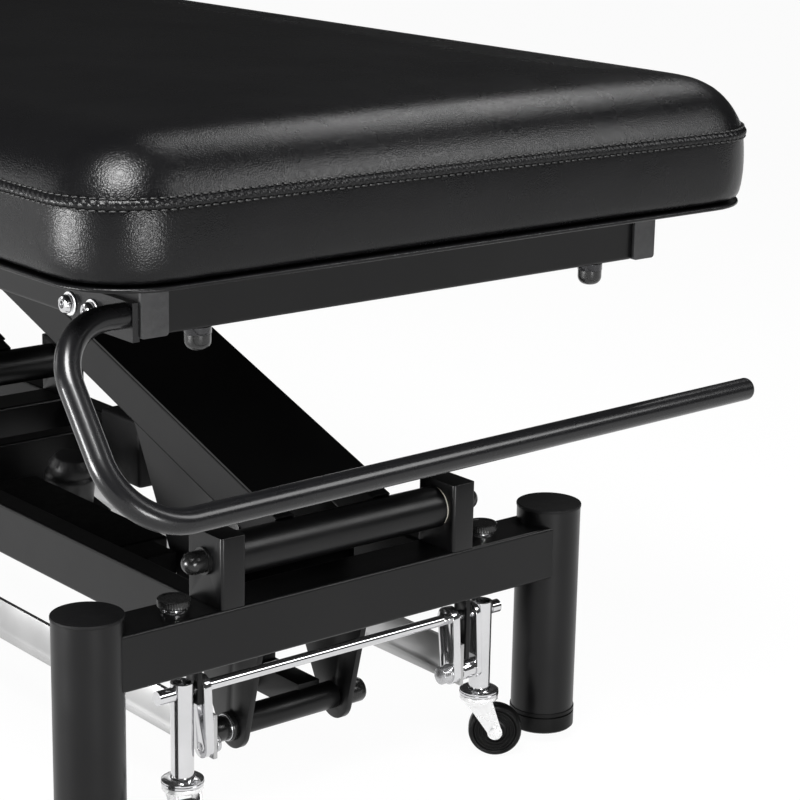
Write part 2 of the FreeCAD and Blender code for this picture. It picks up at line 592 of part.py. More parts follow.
def lever():
    # The lever plates hang under the near arm's bars, behind the near crossbar, and end at the cross shaft.
    under = "bar_depth / 2"
    near_root = ("lever_root_start * cos(arm_angle) + %s * sin(arm_angle)" % under,
                 "lever_root_start * sin(arm_angle) - %s * cos(arm_angle)" % under)
    far_root = ("lever_root_end * cos(arm_angle) + %s * sin(arm_angle)" % under,
                "lever_root_end * sin(arm_angle) - %s * cos(arm_angle)" % under)
    outline = [near_root, far_root,
               ("lever_reach + lever_end * cos(15)", "-lever_drop - lever_end * sin(15)"),
               ("lever_reach - lever_end * cos(13)", "-lever_drop - lever_end * sin(13)"),
               ("lever_flare_reach", "-lever_flare"), ("lever_reach - lever_end", "-lever_notch"),
               ("lever_reach - lever_end", "-lever_knee")]
    plates, bolts = [], []
    for side, sign in SIDES:
        outer = "(arm_width / 2 - lever_inset)"
        inner = "(arm_width / 2 - lever_inset - lever_thickness)"
        low_x, high_x = across(sign, inner, outer)
        web = place(plate(side + "_lever_web", "YZ_Plane", outline, "lever_thickness"), low_x)
        end = cylinder(side + "_lever_end", "x", "2 * lever_end", low_x, high_x,
                       ("lever_reach", "-lever_drop"))
        hole = cylinder(side + "_lever_hole", "x", "lever_bolt_diameter + 2 * running_fit",
                        low_x + " - lever_thickness", high_x + " + lever_thickness",
                        ("lever_reach", "-lever_drop"))
        plates.append(cut(side + "_lever", fuse(side + "_lever_form", web, end), hole))
        at = ("lever_reach", "-lever_drop")
        low, high = across(sign, inner + " - lever_bolt_depth + running_fit", outer)
        shank = cylinder(side + "_lever_shank", "x", "lever_bolt_diameter", low, high, at)
        low, high = across(sign, outer, outer + " + lever_collar_height")
        collar = cylinder(side + "_lever_collar", "x", "lever_collar_diameter", low, high, at)
        low, high = across(sign, outer + " + lever_collar_height",
                           outer + " + lever_collar_height + lever_head_height")
        head = cylinder(side + "_lever_head", "x", "lever_head_diameter", low, high, at)
        bolts.append(fuse(side + "_lever_bolt", shank, collar, head))
    half = "(arm_width / 2 - lever_inset - lever_thickness)"
    plates.append(box("lever_web", ("-%s + weld_gap" % half, "lever_reach - lever_end", "-lever_notch"),
                      (half + " - weld_gap", "lever_reach - lever_end + lever_web_thickness", "-lever_knee")))
    at = ("lever_reach", "-lever_drop")
    shaft = cylinder("lever_cross_shaft", "x", "lever_shaft_diameter", "-" + half, half, at)
    bores = []
    for side, sign in SIDES:
        low, high = across(sign, half + " - lever_bolt_depth", half + " + lever_thickness")
        bores.append(cylinder(side + "_shaft_bore", "x", "lever_bolt_diameter + 2 * running_fit", low, high,
                              at))
    for label, item in (("lever_plates", group("lever_plates", *plates)),
                        ("lever_shaft", cut("lever_shaft", shaft, *bores)),
                        ("lever_bolts", group("lever_bolts", *bolts))):
        node(label, place(item, "0", NEAR, PIVOT_Z))


# Actuator: drawn level, rear pin at its own origin and rod along -Y, then turned down to the lever

def actuator():
    rear = {"y": NEAR + " + mount_reach", "z": MOUNT_Z}
    slope = "atan(mount_rise / (mount_reach - lever_reach))"
    plates = []
    for side, sign in SIDES:
        low_x, high_x = across(sign, "eye_width / 2 + side_play",
                               "eye_width / 2 + side_play + bracket_thickness")
        body = box(side + "_mount_plate",
                   (low_x, rear["y"] + " - bracket_width / 2", rear["z"] + " - bracket_tail"),
                   (high_x, rear["y"] + " + bracket_width / 2", "crossbar_z"))
        hole = cylinder(side + "_mount_hole", "x", "shaft_diameter + 2 * running_fit",
                        low_x + " - bracket_thickness", high_x + " + bracket_thickness",
                        (rear["y"], rear["z"]))
        plates.append(cut(side + "_mount", body, hole))
    node("actuator_bracket", group("actuator_bracket", *plates))

    front = "-gearbox_reach - gearbox_length"
    gearbox = box("gearbox", ("-gearbox_width / 2", front, "-gearbox_height / 2"),
                  ("gearbox_width / 2", "-gearbox_reach", "gearbox_height / 2"))
    barrel = cylinder("ram_barrel", "y", "ram_tube_diameter", "-ram_tube_reach", front, ("0", "0"))
    neck = box("rear_neck", ("-eye_width / 2", "-gearbox_reach", "-rear_eye_diameter / 2"),
               ("eye_width / 2", "0", "rear_eye_diameter / 2"))
    eye = cylinder("rear_eye", "x", "rear_eye_diameter", "-eye_width / 2", "eye_width / 2", ("0", "0"))
    eye_bore = cylinder("rear_eye_bore", "x", "shaft_diameter + 2 * running_fit", "-eye_width", "eye_width",
                        ("0", "0"))
    chamber = cylinder("ram_chamber", "y", "ram_tube_diameter - 2 * ram_tube_wall",
                       "-ram_tube_reach + ram_nose", front + " + ram_tube_wall", ("0", "0"))
    nose = cylinder("ram_nose_bore", "y", "ram_diameter + 2 * running_fit", "-ram_tube_reach",
                    "-ram_tube_reach + ram_nose", ("0", "0"))
    body = fuse("actuator_body", gearbox, barrel, neck, eye)
    housing = cut("actuator_housing", body, eye_bore, chamber, nose)
    node("actuator_housing", place(housing, "0", rear["y"], rear["z"], (1, 0, 0), slope))

    shoulder = "motor_diameter / 2"
    step = "motor_cap_diameter / 2"
    crown = "motor_crown_diameter / 2"
    top = "motor_height"
    motor = turning("motor_can", [("0", "0"), (shoulder, "0"), (shoulder, top + " - motor_cap_step / 2"),
                                  (step, top), (step, top + " + motor_cap_step"),
                                  (crown, top + " + motor_cap_step + motor_crown_step"),
                                  ("0", top + " + motor_cap_step + motor_crown_step")])
    seated = place(motor, "0", "-gearbox_reach - gearbox_length / 2", "gearbox_height / 2")
    turned = group("actuator_motor", seated)
    node("actuator_motor", place(turned, "0", rear["y"], rear["z"], (1, 0, 0), slope))

    span = "(sqrt((mount_reach - lever_reach)^2 + mount_rise^2) + eye_offset_out)"
    ring = "lever_shaft_diameter + 2 * eye_play"
    at = ("-" + span, "eye_offset_up")
    half = "(arm_width / 2 - lever_inset - lever_thickness - sleeve_gap)"
    sleeve = cylinder("rod_sleeve", "x", ring + " + 2 * eye_wall", "-" + half, half, at)
    sleeve_bore = cylinder("rod_sleeve_bore", "x", ring, "-%s - sleeve_gap" % half,
                           half + " + sleeve_gap", at)
    stretch = "sqrt((mount_reach - lever_reach)^2 + mount_rise^2) / (mount_reach - lever_reach)"
    ram = cylinder("ram", "y", "ram_diameter",
                   "-(mount_reach - crank_reach) * %s - crank_thickness / 2" % stretch,
                   "-ram_tube_reach + ram_engaged", ("0", "0"))
    sloped = place(group("rod_sloped", sleeve, ram), "0", rear["y"], rear["z"], (1, 0, 0), slope)
    bore = place(group("rod_bore", sleeve_bore), "0", rear["y"], rear["z"], (1, 0, 0), slope)
    foot = PIVOT_Z + " - lever_drop - push_bar_low"
    right = "push_bar_offset + push_bar_width / 2"
    push_bar = box("push_bar", ("push_bar_offset - push_bar_width / 2", NEAR + " + lever_reach", foot),
                   (right, NEAR + " + crank_reach", foot + " + push_bar_height"))
    crank = box("crank_plate", ("-ram_diameter / 2", NEAR + " + crank_reach - crank_thickness", foot),
                (right, NEAR + " + crank_reach", foot + " + crank_height"))
    rod = cut("actuator_rod", fuse("actuator_rod_form", sloped, push_bar, crank), bore)
    node("actuator_rod", rod)


def control_box():
    face = "-" + POST_IN
    start = NEAR + " + control_start"
    end = start + " + control_length"
    node("control_box", box("control_box", (face, start, "crossbar_z"),
                            (face + " + control_width", end, "crossbar_z + control_height")))
    low = (face + " + control_width / 2 - inlet_width / 2", end,
           "crossbar_z + control_height / 2 - inlet_height / 2")
    high = (face + " + control_width / 2 + inlet_width / 2", end + " + inlet_depth",
            "crossbar_z + control_height / 2 + inlet_height / 2")
    socket_low = (low[0] + " + inlet_wall", end + " + inlet_wall", low[2] + " + inlet_wall")
    socket_high = (high[0] + " - inlet_wall", high[1], high[2] + " - inlet_wall")
    node("power_inlet", cut("power_inlet", box("inlet_shell", low, high),
                            box("inlet_socket", socket_low, socket_high)))


def supply_box():
    end = NEAR + " + mount_reach - mount_bar_width / 2 - supply_gap"
    low = (POST_IN + " - supply_width", end + " - supply_length", "crossbar_z")
    node("supply_box", box("supply_box", low, (POST_IN, end, "crossbar_z + supply_height")))


# Swing-away casters

STEM_IN = "(caster_spacing / 2 - stem_tube_diameter / 2)"
HANGER_LEFT = "(%s - side_play - hanger_thickness)" % STEM_IN
LEFT_PLATE_OUT = "(%s - side_play)" % HANGER_LEFT
LEFT_PLATE_IN = "(%s - caster_lever_thickness)" % LEFT_PLATE_OUT
THIN_OUT = "(%s - side_play)" % STEM_IN
THIN_IN = "(%s - caster_lever_thin)" % THIN_OUT
HEAVY_OUT = "(%s - right_lever_gap)" % THIN_IN
HEAVY_IN = "(%s - caster_lever_thickness)" % HEAVY_OUT
LINK_LEFT = (LEFT_PLATE_IN + " - side_play - link_thickness", LEFT_PLATE_IN + " - side_play")
LINK_RIGHT = (HEAVY_OUT + " + side_play", HEAVY_OUT + " + side_play + link_thickness")
ROD_HOLE = "caster_rod_diameter + 2 * running_fit"
LINK_HOLE = "link_bolt_diameter + 2 * running_fit"
LINK_AT = ("-link_reach", "-link_drop")


def caster_lever(name, low_x, high_x):
    head, end = "caster_lever_head", "caster_lever_end"
    outline = [("-" + head, "0"), (head, "0"), (end + " - link_reach", "-link_drop"),
               ("-%s - link_reach" % end, "-link_drop")]
    web = place(plate(name + "_web", "YZ_Plane", outline, "(%s) - (%s)" % (high_x, low_x)), low_x)
    upper = cylinder(name + "_upper", "x", "2 * " + head, low_x, high_x, ("0", "0"))
    lower = cylinder(name + "_lower", "x", "2 * " + end, low_x, high_x, LINK_AT)
    rod_hole = cylinder(name + "_rod_hole", "x", ROD_HOLE, low_x, high_x, ("0", "0"))
    bolt_hole = cylinder(name + "_bolt_hole", "x", LINK_HOLE, low_x, high_x, LINK_AT)
    return cut(name, fuse(name + "_form", web, upper, lower), rod_hole, bolt_hole)


def link_bolt(name, tip, seat, sign, height):
    # Shank from its tip to the seat, then washer and socket head in the given direction.
    def span(a, b):
        return (a, b) if sign == "1" else (b, a)
    washer_end = "%s + %s * link_washer" % (seat, sign)
    shank = cylinder(name + "_shank", "x", "link_bolt_diameter", *span(tip, seat), LINK_AT)
    washer = cylinder(name + "_washer", "x", "link_head_diameter + 2", *span(seat, washer_end), LINK_AT)
    head = cylinder(name + "_head", "x", "link_head_diameter",
                    *span(washer_end, "%s + %s * %s" % (washer_end, sign, height)), LINK_AT)
    return fuse(name, shank, washer, head)


def caster_carrier(prefix, y):
    tip = "(caster_spacing / 2 + stem_tube_diameter / 2 + side_play)"
    bar = cylinder(prefix + "_cross_rod", "x", "caster_rod_diameter", "-" + tip, tip, ("0", "0"))
    collars = []
    for side, sign in SIDES:
        low, high = across(sign, tip, tip + " + rod_collar_" + side)
        collars.append(cylinder("%s_%s_collar" % (prefix, side), "x", "rod_collar_diameter", low, high,
                                ("0", "0")))
    rod = fuse(prefix + "_rod", bar, *collars)
    tubes = []
    for side, sign in SIDES:
        name = "%s_%s_stem_tube" % (prefix, side)
        at = ("%s * caster_spacing / 2" % sign, "0")
        foot = "stem_tube_bottom - caster_rod_z"
        outer = cylinder(name + "_outer", "z", "stem_tube_diameter", foot, "stem_tube_head", at)
        hollow = cylinder(name + "_hollow", "z", "stem_tube_diameter - 2 * stem_tube_wall",
                          foot + " + stem_seat", "stem_tube_head", at)
        seat = cylinder(name + "_seat", "z", "stem_diameter + 2 * running_fit", foot, foot + " + stem_seat",
                        at)
        cross = cylinder(name + "_cross", "x", ROD_HOLE, at[0] + " - stem_tube_diameter",
                         at[0] + " + stem_tube_diameter", ("0", "0"))
        tubes.append(cut(name, outer, hollow, seat, cross))
    low, high = across("-1", LEFT_PLATE_IN, LEFT_PLATE_OUT)
    levers = [caster_lever(prefix + "_left_lever", low, high),
              caster_lever(prefix + "_right_heavy_lever", HEAVY_IN, HEAVY_OUT),
              caster_lever(prefix + "_right_thin_lever", THIN_IN, THIN_OUT)]
    spacer = (LINK_RIGHT[1] + " + side_play", THIN_IN)
    levers.append(round_tube(prefix + "_spacer", "x", "spacer_diameter", LINK_HOLE, spacer[0], spacer[1],
                             LINK_AT))
    left_seat = "-(%s - side_play)" % LINK_LEFT[0]
    bolts = [link_bolt(prefix + "_left_bolt", "-" + LEFT_PLATE_OUT, left_seat, "1", "link_head_low"),
             link_bolt(prefix + "_right_bolt", THIN_OUT, HEAVY_IN, "-1", "link_head_height")]
    for label, item in ((prefix + "_rod", rod),
                        (prefix + "_stem_tubes", group(prefix + "_stem_tubes", *tubes)),
                        (prefix + "_levers", group(prefix + "_levers", *levers)),
                        (prefix + "_link_bolts", group(prefix + "_link_bolts", *bolts))):
        node(label, place(item, "caster_offset", y, "caster_rod_z"))


def hangers():
    plates = []
    for end, y in (("near", NEAR), ("far", FAR)):
        middle = "(%s + %s) / 2" % (LINK_RIGHT[1], THIN_IN)
        spans = {"left": across("-1", HANGER_LEFT, STEM_IN + " - side_play"),
                 "right": (middle + " - hanger_thickness / 2", middle + " + hanger_thickness / 2")}
        for side, (low_x, high_x) in spans.items():
            name = "%s_%s_hanger" % (end, side)
            body = box(name + "_plate",
                       (low_x, y + " - hanger_width / 2", "caster_rod_z - hanger_tail_" + side),
                       (high_x, y + " + hanger_width / 2", "crossbar_z"))
            hole = cylinder(name + "_hole", "x", ROD_HOLE, low_x + " - hanger_thickness",
                            high_x + " + hanger_thickness", (y, "caster_rod_z"))
            plates.append(cut(name, body, hole))
    node("caster_hangers", place(group("caster_hangers", *plates), "caster_offset"))


def link_bars():
    bars = []
    z = "(caster_rod_z - link_drop)"
    for side, (low_x, high_x) in (("left", across("-1", *LINK_LEFT)), ("right", LINK_RIGHT)):
        name = side + "_link_bar"
        near, far = NEAR + " - link_reach", FAR + " - link_reach"
        body = box(name + "_flat", (low_x, near + " - link_tail", z + " - link_fall"),
                   (high_x, far + " + link_tail", z + " + link_rise"))
        near_hole = cylinder(name + "_near_hole", "x", LINK_HOLE, low_x, high_x, (near, z))
        far_hole = cylinder(name + "_far_hole", "x", "link_bolt_diameter + 2 * open_fit", low_x, high_x,
                            (far, z))
        bars.append(cut(name, body, near_hole, far_hole))
    node("link_bars", place(group("link_bars", *bars), "caster_offset"))


def caster(label, x, y, heading):
    # Drawn with the stem on the local Z axis and the wheel trailing along local X, then turned.
    cheek = "wheel_width / 2 + wheel_play"
    axle_z = "wheel_diameter / 2"
    plate_low = "swivel_z - swivel_thickness"
    stem = cylinder(label + "_stem", "z", "stem_diameter", plate_low, "stem_tube_bottom + stem_length",
                    ("0", "0"))
    swivel = cylinder(label + "_swivel", "z", "swivel_diameter", plate_low, "swivel_z", ("0", "0"))
    bridge = box(label + "_bridge", ("-fork_root / 2", "-(%s + fork_thickness)" % cheek, plate_low),
                 ("fork_root / 2", cheek + " + fork_thickness", plate_low + " + fork_thickness"))
    cheeks = []
    for side, sign in SIDES:
        low, high = across(sign, cheek, cheek + " + fork_thickness")
        outline = [("-fork_root / 2", plate_low), ("wheel_trail - fork_end", axle_z),
                   ("wheel_trail + fork_end", axle_z), ("fork_root / 2", plate_low)]
        web = plate("%s_%s_cheek" % (label, side), "XZ_Plane", outline, "fork_thickness")
        cheeks.append(place(web, "0", high, "0"))
        cheeks.append(cylinder("%s_%s_cheek_end" % (label, side), "y", "2 * fork_end", low, high,
                               ("wheel_trail", axle_z)))
    tall = "%s + fork_thickness" % cheek
    bore = cylinder(label + "_axle_hole", "y", "axle_diameter + 2 * running_fit", "-(%s)" % tall, tall,
                    ("wheel_trail", axle_z))
    fork = cut(label + "_fork_form", fuse(label + "_fork_body", stem, swivel, bridge, *cheeks), bore)
    end = "%s + side_play" % tall
    pin = cylinder(label + "_axle_pin", "y", "axle_diameter", "-(%s)" % end, end, ("wheel_trail", axle_z))
    heads = []
    for side, sign in SIDES:
        low, high = across(sign, end, end + " + axle_head_height")
        heads.append(cylinder("%s_%s_axle_head" % (label, side), "y", "axle_head_diameter", low, high,
                              ("wheel_trail", axle_z)))
    axle = fuse(label + "_axle", pin, *heads)
    node(label + "_fork", place(group(label + "_fork", fork, axle), x, y, "0", (0, 0, 1), heading))

    rim, half = "wheel_diameter / 2", "wheel_width / 2"
    dish = half + " - wheel_recess"
    hub, lip = "wheel_hub_diameter / 2", "wheel_diameter / 2 - wheel_rim"
    inner = "axle_diameter / 2 + running_fit"
    profile = [(inner, "-(%s)" % half), (hub, "-(%s)" % half), (hub, "-(%s)" % dish), (lip, "-(%s)" % dish),
               (lip, "-(%s) + wheel_recess / 2" % half),
               (rim + " - tread_edge", "-(%s) + wheel_recess / 2" % half),
               (rim, "-(%s) + tread_edge" % half), (rim, half + " - tread_edge"),
               (rim + " - tread_edge", half + " - wheel_recess / 2"),
               (lip, half + " - wheel_recess / 2"), (lip, dish), (hub, dish), (hub, half), (inner, half)]
    disc = place(turning(label + "_wheel_disc", profile), "wheel_trail", "0", axle_z, (1, 0, 0), "90")
    node(label + "_wheel", place(group(label + "_wheel", disc), x, y, "0", (0, 0, 1), heading))


def lock_knob(label, x, y):
    neck, grip, pin = "knob_neck_diameter / 2", "knob_diameter / 2", "plunger_diameter / 2"
    base = "side_play"
    shoulder = "knob_neck_height"
    crown = "knob_neck_height + knob_height"
    tip = "plunger_tip_z - crossbar_z - frame_tube"
    body = turning(label, [("0", tip), (pin, tip), (pin, base), (neck, base), (neck, shoulder),
                           (grip, shoulder), (grip, crown + " - cap_lip"), (grip + " - cap_lip", crown),
                           ("0", crown)])
    node(label, place(body, x, y, FRAME_TOP))


def casters_and_knobs():
    caster_carrier("near_caster", NEAR)
    caster_carrier("far_caster", FAR)
    hangers()
    link_bars()
    for end, y in (("near", NEAR), ("far", FAR)):
        for side, sign in SIDES:
            x = "%s * caster_spacing / 2 + caster_offset" % sign
            caster("%s_%s_caster" % (end, side), x, y, "%s_%s_heading" % (end, side))
            lock_knob("%s_%s_lock_knob" % (end, side), "%s * knob_spacing / 2" % sign, y)


# Top frame

TOP_NEAR = "(near_leg_y - top_frame_reach)"
TOP_FAR = "(near_leg_y - top_frame_reach + top_frame_length)"
TOP_OUT = "(top_frame_width / 2)"
TOP_IN = "(top_frame_width / 2 - top_rail_width)"
TOP_Z = "(top_rail_z + top_rail_height)"
ROLL_BOLTS = ("near_leg_y - roll_bolt_reach", "near_leg_y - roll_bolt_reach + roll_bolt_pitch")
ROLL_BOLT_Z = "top_rail_z + roll_bolt_rise"


def top_frame():
    rails, plugs, bumpers = [], [], []
    for side, sign in SIDES:
        low_x, high_x = across(sign, TOP_IN, TOP_OUT)
        tube = square_tube(side + "_top_rail_tube", "y", (low_x, TOP_NEAR, "top_rail_z"),
                           (high_x, TOP_FAR, TOP_Z), "top_rail_wall")
        if side == "left":
            holes = [cylinder("rail_hole_%d" % i, "x", "roll_bolt_diameter + 2 * running_fit",
                              low_x + " - top_rail_wall", low_x + " + 2 * top_rail_wall", (y, ROLL_BOLT_Z))
                     for i, y in enumerate(ROLL_BOLTS)]
            tube = cut("left_top_rail", tube, *holes)
        rails.append(tube)
        for end, face, out in (("near", TOP_NEAR, "-1"), ("far", TOP_FAR, "1")):
            name = "%s_%s_plug" % (end, side)
            inner, outer = "%s - %s * plug_depth" % (face, out), "%s + %s * plug_flange" % (face, out)
            flange_y = (outer, face) if out == "-1" else (face, outer)
            shank_y = (face, inner) if out == "-1" else (inner, face)
            flange = rounded_bar(name + "_flange", "y", (low_x, flange_y[0], "top_rail_z"),
                                 (high_x, flange_y[1], TOP_Z), "tube_corner")
            inset = "top_rail_wall + plug_fit"
            shank = rounded_bar(name + "_shank", "y",
                                ("%s + %s" % (low_x, inset), shank_y[0], "top_rail_z + " + inset),
                                ("%s - (%s)" % (high_x, inset), shank_y[1], "%s - (%s)" % (TOP_Z, inset)),
                                "tube_corner - top_rail_wall")
            plugs.append(fuse(name, flange, shank))
    ends = []
    for end, sign, face in (("near", "1", TOP_NEAR), ("far", "-1", TOP_FAR)):
        edge = "%s + %s * end_rail_recess" % (face, sign)
        back = "%s + %s * top_rail_width" % (edge, sign)
        low_y, high_y = (edge, back) if sign == "1" else (back, edge)
        ends.append(square_tube(end + "_end_rail", "x", ("-" + TOP_IN, low_y, "top_rail_z"),
                                (TOP_IN, high_y, TOP_Z), "top_rail_wall"))
        for side, way in SIDES:
            name = "%s_%s_bumper" % (end, side)
            at = ("%s * bumper_spacing / 2" % way, "%s + %s * top_rail_width / 2" % (edge, sign))
            low_washer = "top_rail_z - bumper_washer"
            low_body = low_washer + " - bumper_height"
            washer = cylinder(name + "_washer", "z", "bumper_washer_diameter", low_washer, "top_rail_z", at)
            barrel = cylinder(name + "_barrel", "z", "bumper_diameter", low_body, low_washer, at)
            tip = dome(name + "_dome", "bumper_diameter", (*at, low_body), (0, 0, -1))
            bumpers.append(fuse(name, washer, barrel, tip))
    node("top_side_rails", group("top_side_rails", *rails))
    node("top_end_rails", group("top_end_rails", *ends))
    node("rail_end_plugs", group("rail_end_plugs", *plugs))
    node("bumpers", group("bumpers", *bumpers))


def top_brackets():
    cross, plates, shafts = [], [], []
    inner = "(upper_tube_length / 2 + bush_flange + side_play)"
    outer = "(upper_tube_length / 2 + bush_flange + side_play + bracket_thickness)"
    for end, start in (("near", NEAR), ("far", MID)):
        y = "%s + %s" % (start, UPPER_Y)
        cross.append(square_tube(end + "_cross_rail", "x",
                                 ("-" + TOP_IN, y + " - top_rail_width / 2", "top_rail_z"),
                                 (TOP_IN, y + " + top_rail_width / 2", TOP_Z), "top_rail_wall"))
        heads = []
        for side, sign in SIDES:
            name = "%s_%s_top_bracket" % (end, side)
            low_x, high_x = across(sign, inner, outer)
            body = box(name + "_plate", (low_x, y + " - bracket_width / 2", UPPER_Z),
                       (high_x, y + " + bracket_width / 2", "top_rail_z"))
            tail = cylinder(name + "_tail", "x", "bracket_width", low_x, high_x, (y, UPPER_Z))
            hole = cylinder(name + "_hole", "x", "shaft_diameter + 2 * running_fit",
                            low_x + " - bracket_thickness", high_x + " + bracket_thickness", (y, UPPER_Z))
            plates.append(cut(name, fuse(name + "_form", body, tail), hole))
            low_x, high_x = across(sign, outer, outer + " + shaft_head_height")
            heads.append(cylinder(name + "_head", "x", "shaft_head_diameter", low_x, high_x, (y, UPPER_Z)))
        shank = cylinder(end + "_upper_shank", "x", "shaft_diameter", "-" + outer, outer, (y, UPPER_Z))
        shafts.append(fuse(end + "_upper_shaft", shank, *heads))
    node("top_cross_rails", group("top_cross_rails", *cross))
    node("top_brackets", group("top_brackets", *plates))
    node("upper_pivot_shafts", group("upper_pivot_shafts", *shafts))


# Board and cushion

def rounded_outline(inset, draw, z):
    # A plan outline of the cushion: rounded corners, and sides that are drawn in between them.
    half = number("cushion_width") / 2 - inset
    near = number("near_leg_y - cushion_reach") + inset
    far = number("near_leg_y - cushion_reach + cushion_length") - inset
    corner = max(number("cushion_corner") - inset, number("cushion_corner_least"))
    diagonal = corner * (1 - math.sqrt(0.5))
    turns = []
    for x_sign, y_sign in ((1, -1), (1, 1), (-1, 1), (-1, -1)):
        x, y = x_sign * half, near if y_sign < 0 else far
        along_x = FreeCAD.Vector(x - x_sign * corner, y, z)
        along_y = FreeCAD.Vector(x, y - y_sign * corner, z)
        tip = FreeCAD.Vector(x - x_sign * diagonal, y - y_sign * diagonal, z)
        turns.append((along_x, tip, along_y) if x_sign * y_sign < 0 else (along_y, tip, along_x))
    inward = [FreeCAD.Vector(*way) for way in ((-1, 0, 0), (0, -1, 0), (1, 0, 0), (0, 1, 0))]
    edges = []
    for i, (start, tip, end) in enumerate(turns):
        following = turns[(i + 1) % len(turns)][0]
        middle = (end + following) * 0.5 + inward[i] * draw
        edges.append(Part.Arc(start, tip, end).toShape())
        side = Part.Arc(end, middle, following) if draw > 0 else Part.LineSegment(end, following)
        edges.append(side.toShape())
    return Part.Wire(edges)


def deck_board():
    face = Part.Face(rounded_outline(number("board_inset"), 0, number(TOP_Z)))
    board = doc.addObject("Part::Feature", "deck_board")
    board.Shape = face.extrude(FreeCAD.Vector(0, 0, number("board_thickness")))
    node("deck_board", board)


def cushion():
    # Sections from the board up: turned-under foot, full side, seam, rounded edge, crown.
    base = number("top_rail_z + top_rail_height + board_thickness + seat_gap")
    height = number("cushion_height - seat_gap")
    seam, bulge = number("cushion_seam"), number("cushion_bulge")
    edge, start = number("cushion_edge"), math.radians(number("cushion_edge_start"))
    rise = height - number("cushion_crown") - seam
    steps = 6
    lower = number("cushion_round_rise")
    sections = [(bulge + number("cushion_tuck"), 0)]
    for step in range(steps + 1):
        level = lower + (seam - lower) * step / steps
        sections.append((bulge * (2 * level / seam - 1) ** 2, level))
    for step in range(1, steps + 1):
        turn = start + (math.pi / 2 - start) * step / steps
        inset = bulge + edge * (math.cos(start) - math.cos(turn)) / math.cos(start)
        sections.append((inset, seam + rise * (math.sin(turn) - math.sin(start)) / (1 - math.sin(start))))
    sections.append((bulge + edge + number("cushion_crown_width"), height))
    wires = [rounded_outline(inset, number("cushion_draw"), base + level) for inset, level in sections]
    pad = doc.addObject("Part::Feature", "cushion")
    pad.Shape = Part.makeLoft(wires, True, True)
    node("cushion", pad)


# Paper-roll bar

def bent_path(corners, radii):
    # Straight runs joined by tangent arcs.
    edges = []
    start = corners[0]
    for before, at, after, radius in zip(corners, corners[1:], corners[2:], radii):
        back = (before - at).normalize()
        ahead = (after - at).normalize()
        half = back.getAngle(ahead) / 2
        reach = radius / math.tan(half)
        bisector = (back + ahead).normalize()
        middle = at + bisector * (radius / math.sin(half) - radius)
        first, last = at + back * reach, at + ahead * reach
        edges.append(Part.LineSegment(start, first).toShape())
        edges.append(Part.Arc(first, middle, last).toShape())
        start = last
    edges.append(Part.LineSegment(start, corners[-1]).toShape())
    return Part.Wire(edges)


def roll_bar():
    rail_x = -number(TOP_OUT)
    plate_x = rail_x - number("roll_plate_thickness")
    low_z = number("top_rail_z - roll_plate_drop")
    start = FreeCAD.Vector(plate_x, number("near_leg_y - roll_start_reach"),
                           number("top_rail_z + roll_start_rise"))
    side = -number("roll_side_x")
    upper = FreeCAD.Vector(side, start.y, start.z)
    lower = FreeCAD.Vector(side, number("near_leg_y - roll_run_reach"),
                           number("top_rail_z - roll_run_drop"))
    run = number("roll_run_end") - side
    tip = lower + FreeCAD.Vector(run, run * math.tan(math.radians(number("roll_run_skew"))), 0)
    path = bent_path([start, upper, lower, tip], [number("roll_bend_upper"), number("roll_bend_lower")])
    radius = number("roll_tube_diameter / 2")
    bore = radius - number("roll_tube_wall")
    rims = [Part.Wire(Part.Circle(start, FreeCAD.Vector(1, 0, 0), r).toShape()) for r in (radius, bore)]
    outer, inner = [path.makePipeShell([rim], True, False) for rim in rims]
    expected = math.pi * radius ** 2 * path.Length
    print("roll bar: length %.1f mm, volume ratio %.4f" % (path.Length, outer.Volume / expected))
    end_edges = [e for e in outer.Edges if all((v.Point - tip).Length < radius * 1.01 for v in e.Vertexes)]
    capped = outer.makeFillet(number("roll_cap"), end_edges)
    aim = (tip - lower).normalize()
    stop = Part.makeCylinder(radius, number("roll_cap"), tip - aim * number("roll_cap"), aim)
    tube = capped.cut(inner.cut(stop))

    near_y = number("near_leg_y - roll_plate_reach")
    far_y = near_y + number("roll_plate_length")
    high_z = low_z + number("roll_plate_height")
    chamfer = number("roll_plate_chamfer")
    outline = [(near_y, low_z), (far_y - chamfer, low_z), (far_y, low_z + chamfer), (far_y, high_z),
               (near_y, high_z), (near_y, low_z)]
    face = Part.Face(Part.makePolygon([FreeCAD.Vector(plate_x, y, z) for y, z in outline]))
    bracket = face.extrude(FreeCAD.Vector(number("roll_plate_thickness"), 0, 0))
    hole_radius = number("roll_bolt_diameter / 2 + running_fit")
    for y in ROLL_BOLTS:
        hole = Part.makeCylinder(hole_radius, 2 * number("roll_plate_thickness"),
                                 FreeCAD.Vector(plate_x, number(y), number(ROLL_BOLT_Z)),
                                 FreeCAD.Vector(1, 0, 0))
        bracket = bracket.cut(hole)
    bar = doc.addObject("Part::Feature", "roll_bar")
    bar.Shape = tube.fuse(bracket).removeSplitter()
    node("roll_bar", bar)

    bolts = []
    for i, y in enumerate(ROLL_BOLTS):
        name = "roll_bolt_%d" % i
        at = (y, ROLL_BOLT_Z)
        seat = "-%s - roll_plate_thickness" % TOP_OUT
        shank = cylinder(name + "_shank", "x", "roll_bolt_diameter", seat,
                         "-%s + roll_bolt_tail" % TOP_OUT, at)
        washer = cylinder(name + "_washer", "x", "roll_washer_diameter", seat + " - roll_washer", seat, at)
        head = cylinder(name + "_head", "x", "roll_head_diameter", seat + " - roll_washer - roll_head_height",
                        seat + " - roll_washer", at)
        bolts.append(fuse(name, shank, washer, head))
    node("roll_bar_bolts", group("roll_bar_bolts", *bolts))


